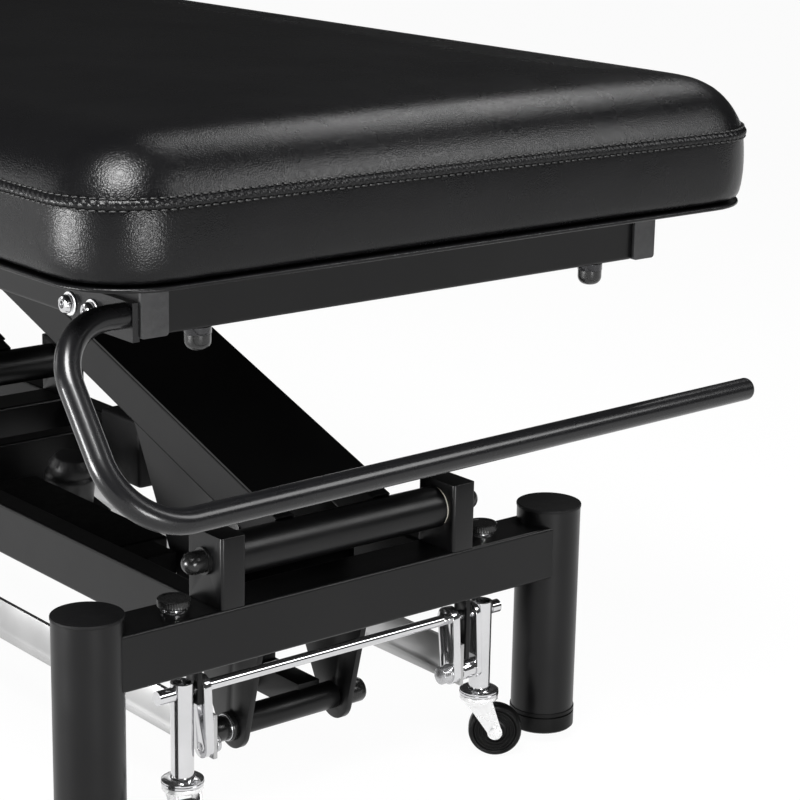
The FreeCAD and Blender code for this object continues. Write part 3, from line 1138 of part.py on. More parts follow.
base_frame()
legs()
posts_and_shafts()
arm("near_arm", NEAR, "shaft_diameter + 2 * running_fit")
arm("far_arm", MID, "shaft_diameter + 2 * open_fit")
lever()
actuator()
control_box()
supply_box()
casters_and_knobs()
top_frame()
top_brackets()
deck_board()
cushion()
roll_bar()
doc.recompute()

failed = [item.Label for item in doc.Objects if "Invalid" in item.State or "Error" in item.State]
for label, item in nodes.items():
    if item.Shape.isNull() or not item.Shape.isValid() or not item.Shape.Solids:
        failed.append(label)
if failed:
    raise RuntimeError("failed: " + ", ".join(failed))
os.makedirs("parts", exist_ok=True)
for label, item in nodes.items():
    item.Shape.exportStep(os.path.join("parts", label + ".step"))
print("%d nodes, %d solids" % (len(nodes), sum(len(item.Shape.Solids) for item in nodes.values())))
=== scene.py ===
import bpy
import json
import math
from mathutils import Matrix, Vector


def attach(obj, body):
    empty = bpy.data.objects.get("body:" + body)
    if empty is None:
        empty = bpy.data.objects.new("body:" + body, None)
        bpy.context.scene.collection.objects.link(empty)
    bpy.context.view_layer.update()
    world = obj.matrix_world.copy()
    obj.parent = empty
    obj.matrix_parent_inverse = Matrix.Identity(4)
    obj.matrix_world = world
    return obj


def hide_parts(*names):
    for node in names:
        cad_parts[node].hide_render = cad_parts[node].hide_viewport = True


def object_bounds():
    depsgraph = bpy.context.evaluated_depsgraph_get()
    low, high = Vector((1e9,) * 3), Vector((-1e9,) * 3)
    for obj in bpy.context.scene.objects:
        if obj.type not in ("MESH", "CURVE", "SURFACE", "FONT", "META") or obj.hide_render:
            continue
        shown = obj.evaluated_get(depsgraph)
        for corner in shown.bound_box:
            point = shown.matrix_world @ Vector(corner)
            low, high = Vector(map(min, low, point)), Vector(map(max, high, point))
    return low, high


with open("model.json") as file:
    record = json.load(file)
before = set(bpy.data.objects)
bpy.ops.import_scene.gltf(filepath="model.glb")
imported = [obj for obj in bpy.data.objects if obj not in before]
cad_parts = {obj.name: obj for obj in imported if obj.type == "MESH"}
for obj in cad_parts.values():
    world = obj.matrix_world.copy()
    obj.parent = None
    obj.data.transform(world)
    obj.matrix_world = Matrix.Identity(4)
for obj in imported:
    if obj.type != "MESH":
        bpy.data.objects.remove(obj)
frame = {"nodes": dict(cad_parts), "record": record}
cadLow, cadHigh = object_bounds()
scene = bpy.context.scene
cadNodes = frame["nodes"]
joints = {joint["name"]: joint for joint in frame["record"]["behaviour"]["joints"]}
print("frame loaded:", len(cadNodes), "CAD nodes")


# selection and small edit-mode helpers

def clearSelection():
    if bpy.context.object and bpy.context.object.mode != "OBJECT":
        bpy.ops.object.mode_set(mode="OBJECT")
    bpy.ops.object.select_all(action="DESELECT")


def pick(piece):
    clearSelection()
    piece.select_set(True)
    bpy.context.view_layer.objects.active = piece


def smoothByAngle(piece, degrees=40):
    pick(piece)
    bpy.ops.object.shade_smooth_by_angle(angle=math.radians(degrees))


def bevelEdges(piece, width, segments=3, degrees=35):
    pick(piece)
    edgeRound = piece.modifiers.new("edgeRound", "BEVEL")
    edgeRound.width = width
    edgeRound.segments = segments
    edgeRound.limit_method = "ANGLE"
    edgeRound.angle_limit = math.radians(degrees)
    bpy.ops.object.modifier_apply(modifier=edgeRound.name)


def finishPiece(piece, name, body, slot, material, *replaced):
    piece.name = name
    piece.data.name = name
    piece.data.materials.clear()
    piece.data.materials.append(material)
    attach(piece, body)
    if replaced:
        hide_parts(*replaced)
    return piece


def copyOf(piece, name):
    twin = bpy.data.objects.new(name, piece.data.copy())
    scene.collection.objects.link(twin)
    return twin


def turned(name, profile, steps=48, closed=False):  # a profile of radius and height, spun round the Z axis
    count = len(profile)
    edges = [(i, (i + 1) % count) for i in range(count if closed else count - 1)]
    data = bpy.data.meshes.new(name)
    data.from_pydata([(r, 0, z) for r, z in profile], edges, [])
    piece = bpy.data.objects.new(name, data)
    scene.collection.objects.link(piece)
    pick(piece)
    bpy.ops.object.mode_set(mode="EDIT")
    bpy.ops.mesh.select_all(action="SELECT")
    bpy.ops.mesh.spin(steps=steps, angle=2 * math.pi, center=(0, 0, 0), axis=(0, 0, 1))
    bpy.ops.mesh.select_all(action="SELECT")
    bpy.ops.mesh.remove_doubles(threshold=0.000005)
    bpy.ops.mesh.normals_make_consistent(inside=False)
    bpy.ops.object.mode_set(mode="OBJECT")
    return piece


def aimed(place, axis):
    turn = Vector((0, 0, 1)).rotation_difference(Vector(axis))
    return Matrix.Translation(place) @ turn.to_matrix().to_4x4()


def seated(piece, name, turn):  # a copy with its place in its mesh
    twin = copyOf(piece, name)
    twin.data.transform(turn)
    return twin


def drop(piece):
    bpy.data.objects.remove(piece)


def spread(points):
    return [min(p[i] for p in points) for i in range(3)], [max(p[i] for p in points) for i in range(3)]


def quarters(node):  # the box of a node's pieces in each quarter of the plan
    points = [v.co for v in cadNodes[node].data.vertices]
    found = {}
    for end in ("near", "far"):
        for side in ("left", "right"):
            inside = [p for p in points if (p.y < 0) == (end == "near") and (p.x < 0) == (side == "left")]
            if inside:
                found[end, side] = spread(inside)
    return found


# shader groups that several finishes share

def newGroup(name, inputs, outputs):
    group = bpy.data.node_groups.new(name, "ShaderNodeTree")
    for label, kind, value in inputs:
        socket = group.interface.new_socket(name=label, in_out="INPUT", socket_type=kind)
        if value is not None:
            socket.default_value = value
    for label, kind in outputs:
        group.interface.new_socket(name=label, in_out="OUTPUT", socket_type=kind)
    return group, group.nodes.new("NodeGroupInput"), group.nodes.new("NodeGroupOutput")


def addMath(tree, operation, first, second):
    node = tree.nodes.new("ShaderNodeMath")
    node.operation = operation
    for index, value in enumerate((first, second)):
        if isinstance(value, (int, float)):
            node.inputs[index].default_value = value
        else:
            tree.links.new(value, node.inputs[index])
    return node.outputs[0]


def buildMottle():  # slow cloudy change, for tint and gloss
    group, given, out = newGroup("mottle", [
        ("Place", "NodeSocketVector", None), ("Scale", "NodeSocketFloat", 20.0),
        ("Low", "NodeSocketFloat", 0.0), ("High", "NodeSocketFloat", 1.0)], [("Value", "NodeSocketFloat")])
    cloud = group.nodes.new("ShaderNodeTexNoise")
    cloud.inputs["Detail"].default_value = 4.0
    widen = group.nodes.new("ShaderNodeMapRange")
    widen.inputs["From Min"].default_value = 0.3
    widen.inputs["From Max"].default_value = 0.7
    group.links.new(given.outputs["Place"], cloud.inputs["Vector"])
    group.links.new(given.outputs["Scale"], cloud.inputs["Scale"])
    group.links.new(cloud.outputs["Fac"], widen.inputs["Value"])
    group.links.new(given.outputs["Low"], widen.inputs["To Min"])
    group.links.new(given.outputs["High"], widen.inputs["To Max"])
    group.links.new(widen.outputs["Result"], out.inputs["Value"])
    return group


def buildPebble():  # pressed leather grain: soft cells cut by fine valleys
    group, given, out = newGroup("pebble", [
        ("Place", "NodeSocketVector", None), ("Scale", "NodeSocketFloat", 500.0),
        ("Wander", "NodeSocketFloat", 0.004)], [("Height", "NodeSocketFloat")])
    drift = group.nodes.new("ShaderNodeTexNoise")
    drift.inputs["Scale"].default_value = 130.0
    drift.inputs["Detail"].default_value = 2.0
    offset = group.nodes.new("ShaderNodeVectorMath")
    offset.operation = "SCALE"
    shifted = group.nodes.new("ShaderNodeVectorMath")
    cells = group.nodes.new("ShaderNodeTexVoronoi")
    cells.feature = "DISTANCE_TO_EDGE"
    valley = group.nodes.new("ShaderNodeMapRange")
    valley.interpolation_type = "SMOOTHSTEP"
    valley.inputs["From Max"].default_value = 0.32
    group.links.new(given.outputs["Place"], drift.inputs["Vector"])
    group.links.new(drift.outputs["Color"], offset.inputs[0])
    group.links.new(given.outputs["Wander"], offset.inputs["Scale"])
    group.links.new(given.outputs["Place"], shifted.inputs[0])
    group.links.new(offset.outputs[0], shifted.inputs[1])
    group.links.new(shifted.outputs[0], cells.inputs["Vector"])
    group.links.new(given.outputs["Scale"], cells.inputs["Scale"])
    group.links.new(cells.outputs["Distance"], valley.inputs["Value"])
    group.links.new(valley.outputs["Result"], out.inputs["Height"])
    return group


def buildPeel():  # orange-peel ripple and fine specks of sprayed or moulded skins
    group, given, out = newGroup("peel", [
        ("Place", "NodeSocketVector", None), ("Scale", "NodeSocketFloat", 700.0),
        ("Speck", "NodeSocketFloat", 0.35)], [("Height", "NodeSocketFloat")])
    ripple = group.nodes.new("ShaderNodeTexNoise")
    ripple.inputs["Detail"].default_value = 1.5
    speck = group.nodes.new("ShaderNodeTexNoise")
    speck.inputs["Detail"].default_value = 3.0
    group.links.new(given.outputs["Place"], ripple.inputs["Vector"])
    group.links.new(given.outputs["Place"], speck.inputs["Vector"])
    group.links.new(given.outputs["Scale"], ripple.inputs["Scale"])
    group.links.new(addMath(group, "MULTIPLY", given.outputs["Scale"], 3.1), speck.inputs["Scale"])
    fine = addMath(group, "MULTIPLY", speck.outputs["Fac"], given.outputs["Speck"])
    group.links.new(addMath(group, "ADD", ripple.outputs["Fac"], fine), out.inputs["Height"])
    return group


def buildDrawLines():  # long fine lines of drawn, rolled or ground metal
    group, given, out = newGroup("drawLines", [
        ("Place", "NodeSocketVector", None),
        ("Stretch", "NodeSocketVector", (900.0, 12.0, 900.0))], [("Value", "NodeSocketFloat")])
    scaled = group.nodes.new("ShaderNodeVectorMath")
    scaled.operation = "MULTIPLY"
    lines = group.nodes.new("ShaderNodeTexNoise")
    lines.inputs["Scale"].default_value = 1.0
    lines.inputs["Detail"].default_value = 3.0
    group.links.new(given.outputs["Place"], scaled.inputs[0])
    group.links.new(given.outputs["Stretch"], scaled.inputs[1])
    group.links.new(scaled.outputs[0], lines.inputs["Vector"])
    group.links.new(lines.outputs["Fac"], out.inputs["Value"])
    return group


mottle, pebble, peel, drawLines = buildMottle(), buildPebble(), buildPeel(), buildDrawLines()


def placeGroup(tree, group, place, **values):
    node = tree.nodes.new("ShaderNodeGroup")
    node.node_tree = group
    tree.links.new(place, node.inputs["Place"])
    for label, value in values.items():
        node.inputs[label].default_value = value
    return node


def startMaterial(name):
    material = bpy.data.materials.new(name)
    material.use_nodes = True
    tree = material.node_tree
    shader = tree.nodes["Principled BSDF"]
    place = tree.nodes.new("ShaderNodeTexCoord").outputs["Object"]
    return material, tree, shader, place


def tintAndGloss(tree, shader, place, look):
    cloud = placeGroup(tree, mottle, place, Scale=look["cloud"], Low=0.0, High=1.0)
    tint = tree.nodes.new("ShaderNodeMix")
    tint.data_type = "RGBA"
    tint.inputs["A"].default_value = (*look["base"], 1)
    tint.inputs["B"].default_value = (*look["shift"], 1)
    tree.links.new(cloud.outputs["Value"], tint.inputs["Factor"])
    tree.links.new(tint.outputs["Result"], shader.inputs["Base Color"])
    smoothest, roughest = look["rough"]
    gloss = placeGroup(tree, mottle, place, Scale=look["cloud"] * 2.7, Low=smoothest, High=roughest)
    tree.links.new(gloss.outputs["Value"], shader.inputs["Roughness"])
    shader.inputs["Metallic"].default_value = look.get("metal", 0.0)
    shader.inputs["Specular IOR Level"].default_value = look.get("specular", 0.5)
    shader.inputs["Coat Weight"].default_value = look.get("coat", 0.0)
    shader.inputs["Coat Roughness"].default_value = look.get("coatRough", 0.1)


def bumpFrom(tree, shader, height, strength, distance):
    bump = tree.nodes.new("ShaderNodeBump")
    bump.inputs["Strength"].default_value = strength
    bump.inputs["Distance"].default_value = distance
    tree.links.new(height, bump.inputs["Height"])
    tree.links.new(bump.outputs["Normal"], shader.inputs["Normal"])
    return bump


def sprayedFinish(name, look):  # powder coat, paint and moulded plastic
    material, tree, shader, place = startMaterial(name)
    tintAndGloss(tree, shader, place, look)
    skin = placeGroup(tree, peel, place, Scale=look["peel"], Speck=look.get("speck", 0.35))
    bumpFrom(tree, shader, skin.outputs["Height"], look["bump"], look.get("depth", 0.0003))
    return material


def metalFinish(name, look):  # plated and ground metal
    material, tree, shader, place = startMaterial(name)
    tintAndGloss(tree, shader, place, look)
    lines = placeGroup(tree, drawLines, place, Stretch=look["stretch"])
    bumpFrom(tree, shader, lines.outputs["Value"], look["bump"], 0.0002)
    return material


sprayedLooks = {
    "satinCoat": {"base": (0.0016, 0.0016, 0.0018), "shift": (0.0026, 0.0026, 0.0028), "cloud": 9,
                  "rough": (0.31, 0.39), "peel": 620, "bump": 0.08, "specular": 0.26},
    "glossCoat": {"base": (0.004, 0.004, 0.0045), "shift": (0.006, 0.006, 0.0065), "cloud": 12,
                  "rough": (0.24, 0.3), "peel": 380, "bump": 0.03, "coat": 0.2, "coatRough": 0.12,
                  "specular": 0.26},
    "blackOxide": {"base": (0.006, 0.006, 0.006), "shift": (0.01, 0.01, 0.01), "cloud": 60,
                   "rough": (0.2, 0.3), "peel": 1400, "bump": 0.05, "specular": 0.45},
    "nutBlack": {"base": (0.03, 0.03, 0.032), "shift": (0.05, 0.05, 0.052), "cloud": 80,
                 "rough": (0.12, 0.18), "peel": 900, "bump": 0.03, "metal": 0.7},
    "grainPlastic": {"base": (0.0025, 0.0025, 0.0028), "shift": (0.004, 0.004, 0.0042), "cloud": 40,
                     "rough": (0.5, 0.6), "peel": 1500, "bump": 0.4, "speck": 0.9, "specular": 0.2},
    "plugPlastic": {"base": (0.018, 0.018, 0.019), "shift": (0.03, 0.03, 0.031), "cloud": 160,
                    "rough": (0.5, 0.62), "peel": 1300, "bump": 0.7, "speck": 1.0},
    "casingPaint": {"base": (0.012, 0.012, 0.0125), "shift": (0.017, 0.017, 0.0175), "cloud": 25,
                    "rough": (0.36, 0.46), "peel": 900, "bump": 0.15, "specular": 0.4},
    "softRubber": {"base": (0.002, 0.002, 0.002), "shift": (0.0035, 0.0035, 0.0035), "cloud": 55,
                   "rough": (0.34, 0.44), "peel": 1900, "bump": 0.12, "speck": 0.7, "specular": 0.13},
    "glossRubber": {"base": (0.006, 0.006, 0.006), "shift": (0.009, 0.009, 0.009), "cloud": 70,
                    "rough": (0.16, 0.24), "peel": 900, "bump": 0.04},
    "nylon": {"base": (0.46, 0.44, 0.38), "shift": (0.52, 0.5, 0.44), "cloud": 45,
              "rough": (0.35, 0.45), "peel": 1200, "bump": 0.1},
}
metalLooks = {
    "chrome": {"base": (0.6, 0.6, 0.61), "shift": (0.7, 0.7, 0.71), "cloud": 14, "metal": 0.97,
               "rough": (0.08, 0.13), "stretch": (500.0, 500.0, 25.0), "bump": 0.006},
    "zinc": {"base": (0.74, 0.74, 0.74), "shift": (0.82, 0.82, 0.82), "cloud": 16, "metal": 0.7,
             "rough": (0.24, 0.3), "stretch": (300.0, 25.0, 300.0), "bump": 0.012},
    "dullZinc": {"base": (0.4, 0.4, 0.4), "shift": (0.5, 0.5, 0.5), "cloud": 10, "metal": 0.95,
                 "rough": (0.3, 0.38), "stretch": (300.0, 12.0, 300.0), "bump": 0.02},
    "groundSteel": {"base": (0.45, 0.45, 0.46), "shift": (0.52, 0.52, 0.53), "cloud": 50, "metal": 0.9,
                    "rough": (0.22, 0.3), "stretch": (40.0, 700.0, 700.0), "bump": 0.04},
}
finishes = {name: sprayedFinish(name, look) for name, look in sprayedLooks.items()}
finishes.update({name: metalFinish(name, look) for name, look in metalLooks.items()})
print("finishes:", ", ".join(finishes))

nodeFinish = {"frame_black": "satinCoat", "gloss_black": "glossCoat", "black_fastener": "blackOxide",
              "plastic_black": "grainPlastic", "rubber_black": "softRubber", "bush_nylon": "nylon",
              "pin_steel": "groundSteel", "motor_grey": "casingPaint", "chrome": "chrome", "zinc": "zinc",
              "vinyl": "grainPlastic", "board": "grainPlastic"}
for part in frame["record"]["subparts"]:
    meshData = cadNodes[part["node"]].data
    meshData.materials.clear()
    meshData.materials.append(finishes[nodeFinish[part["material_slot"]]])


# cover of the cushion: pressed grain over irregular creases and a slow swell

vinylLook = {"base": (0.0022, 0.0022, 0.0025), "shift": (0.0035, 0.0035, 0.0038), "rough": (0.25, 0.31),
             "cloud": 7.0, "specular": 0.22, "pebble": 520.0, "wander": 0.004, "crease": 170.0,
             "creaseWander": 0.02, "creaseDepth": 0.2, "wave": 26.0, "swell": 0.3, "bump": 0.17,
             "depth": 0.0006}


def makeVinyl(name, look):
    material, tree, shader, place = startMaterial(name)
    tintAndGloss(tree, shader, place, look)
    fine = placeGroup(tree, pebble, place, Scale=look["pebble"], Wander=look["wander"])
    crease = placeGroup(tree, pebble, place, Scale=look["crease"], Wander=look["creaseWander"])
    wave = tree.nodes.new("ShaderNodeTexNoise")
    wave.inputs["Scale"].default_value = look["wave"]
    wave.inputs["Detail"].default_value = 3.0
    tree.links.new(place, wave.inputs["Vector"])
    coarse = addMath(tree, "MULTIPLY", crease.outputs["Height"], look["creaseDepth"])
    swell = addMath(tree, "MULTIPLY", wave.outputs["Fac"], look["swell"])
    height = addMath(tree, "ADD", addMath(tree, "ADD", fine.outputs["Height"], coarse), swell)
    bumpFrom(tree, shader, height, look["bump"], look["depth"])
    return material


vinyl = makeVinyl("coverVinyl", vinylLook)
seamVinyl = makeVinyl("seamVinyl", dict(vinylLook, rough=(0.27, 0.33), specular=0.22))
threadLook = {"base": (0.004, 0.004, 0.004), "shift": (0.008, 0.008, 0.008), "cloud": 300,
              "rough": (0.4, 0.55), "peel": 2600, "bump": 0.3}
thread = sprayedFinish("thread", threadLook)


# cushion: a merged copy of its solid, remeshed, puffed up by cloth between the sewn lines

cushionSizes = {"voxel": 0.007, "shrink": 0.0012, "pressure": 4.0, "frames": 14, "cap": 0.004, "relax": 8,
                "seamLow": 0.5915, "seamHigh": 0.6045, "foot": 0.5425, "loose": 0.05, "firm": 0.13}
clothSizes = {"quality": 4, "stiffness": 40.0, "shear": 15.0, "bending": 4.0}


def relax(piece, rounds, factor=0.5):
    pick(piece)
    even = piece.modifiers.new("even", "SMOOTH")
    even.factor = factor
    even.iterations = rounds
    bpy.ops.object.modifier_apply(modifier=even.name)


def mergedCopy(node, name):
    twin = copyOf(cadNodes[node], name)
    pick(twin)
    bpy.ops.object.mode_set(mode="EDIT")
    bpy.ops.mesh.select_all(action="SELECT")
    bpy.ops.mesh.remove_doubles(threshold=0.00002)
    bpy.ops.mesh.customdata_custom_splitnormals_clear()
    bpy.ops.object.mode_set(mode="OBJECT")
    return twin


def makeCushion():
    size = cushionSizes
    pad = mergedCopy("cushion", "cushionCover")
    pick(pad)
    pad.data.remesh_voxel_size = size["voxel"]
    pad.data.use_remesh_fix_poles = False
    pad.data.use_remesh_preserve_volume = True
    bpy.ops.object.voxel_remesh()
    relax(pad, size["relax"])
    rest = [v.co.copy() for v in pad.data.vertices]
    normals = [v.normal.copy() for v in pad.data.vertices]
    sewn = pad.vertex_groups.new(name="sewn")
    for v, normal in zip(pad.data.vertices, normals):
        held = v.co.z < size["foot"]
        held = held or (size["seamLow"] < v.co.z < size["seamHigh"] and normal.z < 0.8)
        inward = min(v.co.x - cadLow[0], cadHigh[0] - v.co.x, v.co.y - cadLow[1], cadHigh[1] - v.co.y)
        backing = (inward - size["loose"]) / (size["firm"] - size["loose"]) if normal.z > 0.5 else 0.0
        weight = 1.0 if held else min(max(backing, 0.0), 1.0)
        if weight > 0:
            sewn.add([v.index], weight, "REPLACE")
        v.co -= normal * size["shrink"] * (1 - weight)
    pick(pad)
    cloth = pad.modifiers.new("cloth", "CLOTH")
    settings = cloth.settings
    settings.quality = clothSizes["quality"]
    settings.use_pressure = True
    settings.uniform_pressure_force = size["pressure"]
    settings.vertex_group_mass = "sewn"
    settings.tension_stiffness = clothSizes["stiffness"]
    settings.compression_stiffness = clothSizes["stiffness"]
    settings.shear_stiffness = clothSizes["shear"]
    settings.bending_stiffness = clothSizes["bending"]
    settings.effector_weights.gravity = 0.0
    cloth.point_cache.frame_start = 1
    cloth.point_cache.frame_end = size["frames"]
    for number in range(1, size["frames"] + 1):
        scene.frame_set(number)
    pick(pad)
    bpy.ops.object.modifier_apply(modifier=cloth.name)
    scene.frame_set(1)
    for v, start in zip(pad.data.vertices, rest):
        moved = v.co - start
        if moved.length > size["cap"]:
            v.co = start + moved.normalized() * size["cap"]
    relax(pad, 8)
    pick(pad)
    bpy.ops.object.shade_smooth()
    return pad


cushion = makeCushion()
finishPiece(cushion, "cushionCover", "top", "vinyl", vinyl, "cushion")
print("cushion:", len(cushion.data.polygons), "faces")


# seam round the cushion: a ridged band between two rows of stitches

seamSizes = {"low": 0.5935, "high": 0.6025, "inset": 0.0035, "draw": 0.002, "corner": 0.068, "half": 0.350,
             "near": -0.9102, "far": 0.9398, "step": 0.0016, "proud": 0.0017, "sunk": 0.0014, "rows": 8,
             "foot": 0.5378, "tall": 0.0645, "swell": 0.0035, "cornerSteps": 28, "sideStep": 0.004,
             "ridgePitch": 0.0068, "ridgeHeight": 0.0007, "ridgeSlant": 0.4, "rowInset": 0.0002}
stitchSizes = {"pitch": 0.0072, "length": 0.0056, "radius": 0.00075, "out": 0.0004, "dip": 0.0007, "sides": 6}


def sideSwell(z):
    s = seamSizes
    t = (z - s["foot"]) / s["tall"]
    return s["swell"] * (1 - (2 * min(t, 1.0) - 1) ** 2)


def seamPath(step, inset):
    # points, outward directions and run lengths round the drawn-in outline
    s = seamSizes
    half, near, far = s["half"] - inset, s["near"] + inset, s["far"] - inset
    corner = s["corner"]
    raw = []

    def side(start, end, inward):
        count = max(2, int((Vector(end) - Vector(start)).length / s["sideStep"]))
        for i in range(count):
            t = i / count
            sag = s["draw"] * (1 - (2 * t - 1) ** 2)
            raw.append((start[0] + (end[0] - start[0]) * t + inward[0] * sag,
                        start[1] + (end[1] - start[1]) * t + inward[1] * sag))

    def turn(centre, fromAngle):
        for i in range(s["cornerSteps"]):
            a = math.radians(fromAngle + 90 * i / s["cornerSteps"])
            raw.append((centre[0] + corner * math.cos(a), centre[1] + corner * math.sin(a)))

    turn((half - corner, near + corner), -90)
    side((half, near + corner), (half, far - corner), (-1, 0))
    turn((half - corner, far - corner), 0)
    side((half - corner, far), (-half + corner, far), (0, -1))
    turn((-half + corner, far - corner), 90)
    side((-half, far - corner), (-half, near + corner), (1, 0))
    turn((-half + corner, near + corner), 180)
    side((-half + corner, near), (half - corner, near), (0, 1))
    points = [Vector((x, y, 0)) for x, y in raw]
    runs = [0.0]
    for a, b in zip(points, points[1:] + points[:1]):
        runs.append(runs[-1] + (b - a).length)
    total = runs[-1]
    count = int(round(total / step))
    out, seat = [], 0
    for i in range(count):
        goal = total * i / count
        while runs[seat + 1] < goal:
            seat += 1
        a, b = points[seat], points[(seat + 1) % len(points)]
        t = (goal - runs[seat]) / (runs[seat + 1] - runs[seat])
        ahead = (b - a).normalized()
        out.append((a.lerp(b, t), ahead, Vector((ahead.y, -ahead.x, 0)), goal))
    return out, total


def makeSeamBand():
    s = seamSizes
    path, total = seamPath(s["step"], s["inset"])
    waves = round(total / s["ridgePitch"])
    verts, faces = [], []
    rows = s["rows"]
    for point, ahead, outward, run in path:
        for row in range(rows + 1):
            t = row / rows
            arch = math.sin(math.pi * t)
            ridge = math.sin(2 * math.pi * (waves * run / total + s["ridgeSlant"] * 2 * t)) * arch
            z = s["low"] + (s["high"] - s["low"]) * t
            crown = (s["proud"] + s["sunk"]) * arch ** 0.6
            reach = sideSwell(z) - s["sunk"] + crown + s["ridgeHeight"] * ridge
            verts.append(point + outward * reach + Vector((0, 0, z)))
    count = len(path)
    for i in range(count):
        j = (i + 1) % count
        for row in range(rows):
            a, b = i * (rows + 1) + row, j * (rows + 1) + row
            faces.append((a, b, b + 1, a + 1))
        a, b = i * (rows + 1), j * (rows + 1)
        faces.append((b, a, a + rows, b + rows))
    data = bpy.data.meshes.new("seamBand")
    data.from_pydata(verts, [], faces)
    band = bpy.data.objects.new("seamBand", data)
    scene.collection.objects.link(band)
    pick(band)
    bpy.ops.object.shade_smooth()
    return band


def makeStitches(name, z):
    s = stitchSizes
    path, total = seamPath(s["pitch"], seamSizes["inset"])
    verts, faces = [], []
    stations = ((-0.5, 0.25), (-0.36, 1.0), (0.36, 1.0), (0.5, 0.25))
    sides = s["sides"]
    for point, ahead, outward, run in path:
        base = len(verts)
        for along, girth in stations:
            for k in range(sides):
                a = 2 * math.pi * k / sides
                dip = -s["dip"] if abs(along) > 0.4 else 0.0
                place = point + ahead * along * s["length"] + outward * (sideSwell(z) + s["out"] + dip)
                place = place + outward * math.cos(a) * s["radius"] * girth
                verts.append(place + Vector((0, 0, z + math.sin(a) * s["radius"] * girth)))
        for ring in range(len(stations) - 1):
            for k in range(sides):
                a, b = base + ring * sides + k, base + ring * sides + (k + 1) % sides
                faces.append((a, b, b + sides, a + sides))
        faces.append(tuple(base + k for k in reversed(range(sides))))
        last = base + (len(stations) - 1) * sides
        faces.append(tuple(last + k for k in range(sides)))
    data = bpy.data.meshes.new(name)
    data.from_pydata(verts, [], faces)
    row = bpy.data.objects.new(name, data)
    scene.collection.objects.link(row)
    pick(row)
    bpy.ops.object.mode_set(mode="EDIT")
    bpy.ops.mesh.select_all(action="SELECT")
    bpy.ops.mesh.normals_make_consistent(inside=False)
    bpy.ops.object.mode_set(mode="OBJECT")
    bpy.ops.object.shade_smooth()
    return row


finishPiece(makeSeamBand(), "seamBand", "top", "vinyl", seamVinyl)
rowHeights = {"upperStitches": seamSizes["high"] - seamSizes["rowInset"],
              "lowerStitches": seamSizes["low"] + seamSizes["rowInset"]}
for rowName, rowHeight in rowHeights.items():
    finishPiece(makeStitches(rowName, rowHeight), rowName, "top", "vinyl", thread)
print("seam band and stitches done")


# rigid nodes whose edges are eased: merged copies, flats dissolved, then bevelled

easedNodes = {
    "deck_board": ("top", "board", 0.0016, 4, "boardWrap"),
    "leg_caps": ("base", "plastic_black", 0.0009, 3, "grainPlastic"),
    "rail_end_plugs": ("top", "plastic_black", 0.0012, 3, "plugPlastic"),
    "lever_plates": ("near_arm", "frame_black", 0.0008, 2, "satinCoat"),
    "top_brackets": ("top", "frame_black", 0.0007, 2, "satinCoat"),
    "caster_hangers": ("base", "frame_black", 0.0005, 2, "satinCoat"),
    "near_caster_levers": ("near_carrier", "chrome", 0.0007, 2, "chrome"),
    "far_caster_levers": ("far_carrier", "chrome", 0.0007, 2, "chrome"),
    "link_bars": ("links", "zinc", 0.0007, 2, "dullZinc"),
    "control_box": ("base", "plastic_black", 0.003, 4, "grainPlastic"),
    "supply_box": ("base", "plastic_black", 0.004, 4, "grainPlastic"),
    "actuator_bracket": ("base", "frame_black", 0.0007, 2, "satinCoat"),
    "actuator_housing": ("actuator", "motor_grey", 0.0015, 3, "casingPaint"),
    "actuator_motor": ("actuator", "motor_grey", 0.0015, 3, "casingPaint"),
    "actuator_rod": ("actuator_ram", "black_fastener", 0.0008, 2, "satinCoat"),
    "pivot_posts": ("base", "frame_black", 0.0009, 2, "satinCoat"),
    "near_left_caster_fork": ("near_left_swivel", "zinc", 0.0005, 2, "zinc"),
    "near_right_caster_fork": ("near_right_swivel", "zinc", 0.0005, 2, "zinc"),
    "far_left_caster_fork": ("far_left_swivel", "zinc", 0.0005, 2, "zinc"),
    "far_right_caster_fork": ("far_right_swivel", "zinc", 0.0005, 2, "zinc"),
    "near_caster_link_bolts": ("near_carrier", "chrome", 0.0006, 2, "groundSteel"),
    "far_caster_link_bolts": ("far_carrier", "chrome", 0.0006, 2, "groundSteel"),
}
finishes["boardWrap"] = seamVinyl


def easedCopy(node, name, width, segments):
    twin = mergedCopy(node, name)
    pick(twin)
    bpy.ops.object.mode_set(mode="EDIT")
    bpy.ops.mesh.select_all(action="SELECT")
    bpy.ops.mesh.dissolve_limited(angle_limit=math.radians(1.0))
    bpy.ops.object.mode_set(mode="OBJECT")
    bevelEdges(twin, width, segments)
    smoothByAngle(twin, 45)
    return twin


def camel(node):
    words = node.split("_")
    return words[0] + "".join(word.capitalize() for word in words[1:])


for node, (body, slot, width, segments, finish) in easedNodes.items():
    twin = easedCopy(node, camel(node) + "Eased", width, segments)
    finishPiece(twin, camel(node) + "Eased", body, slot, finishes[finish], node)
print("eased nodes:", len(easedNodes))


# wheels of the casters: turned tyres with ribbed sides

wheelSizes = {"radius": 0.025, "half": 0.009, "bore": 0.0034, "hub": 0.0085,
              "ribs": (0.0118, 0.0152, 0.0186)}


def makeWheel():
    s = wheelSizes
    half, radius = s["half"], s["radius"]
    side = [(s["bore"], half - 0.0006), (s["hub"] - 0.0006, half - 0.0006), (s["hub"], half - 0.0016)]
    for rib in s["ribs"]:
        side += [(rib - 0.0012, half - 0.0026), (rib - 0.0005, half - 0.0013),
                 (rib + 0.0005, half - 0.0013), (rib + 0.0012, half - 0.0026)]
    side += [(0.0208, half - 0.0012), (radius - 0.0028, half - 0.0006), (radius - 0.0009, half - 0.002),
             (radius, half - 0.0042)]
    wheel = turned("wheelForm", side + [(r, -z) for r, z in reversed(side)], 64, True)
    bevelEdges(wheel, 0.0002, 2, 30)
    smoothByAngle(wheel, 50)
    return wheel


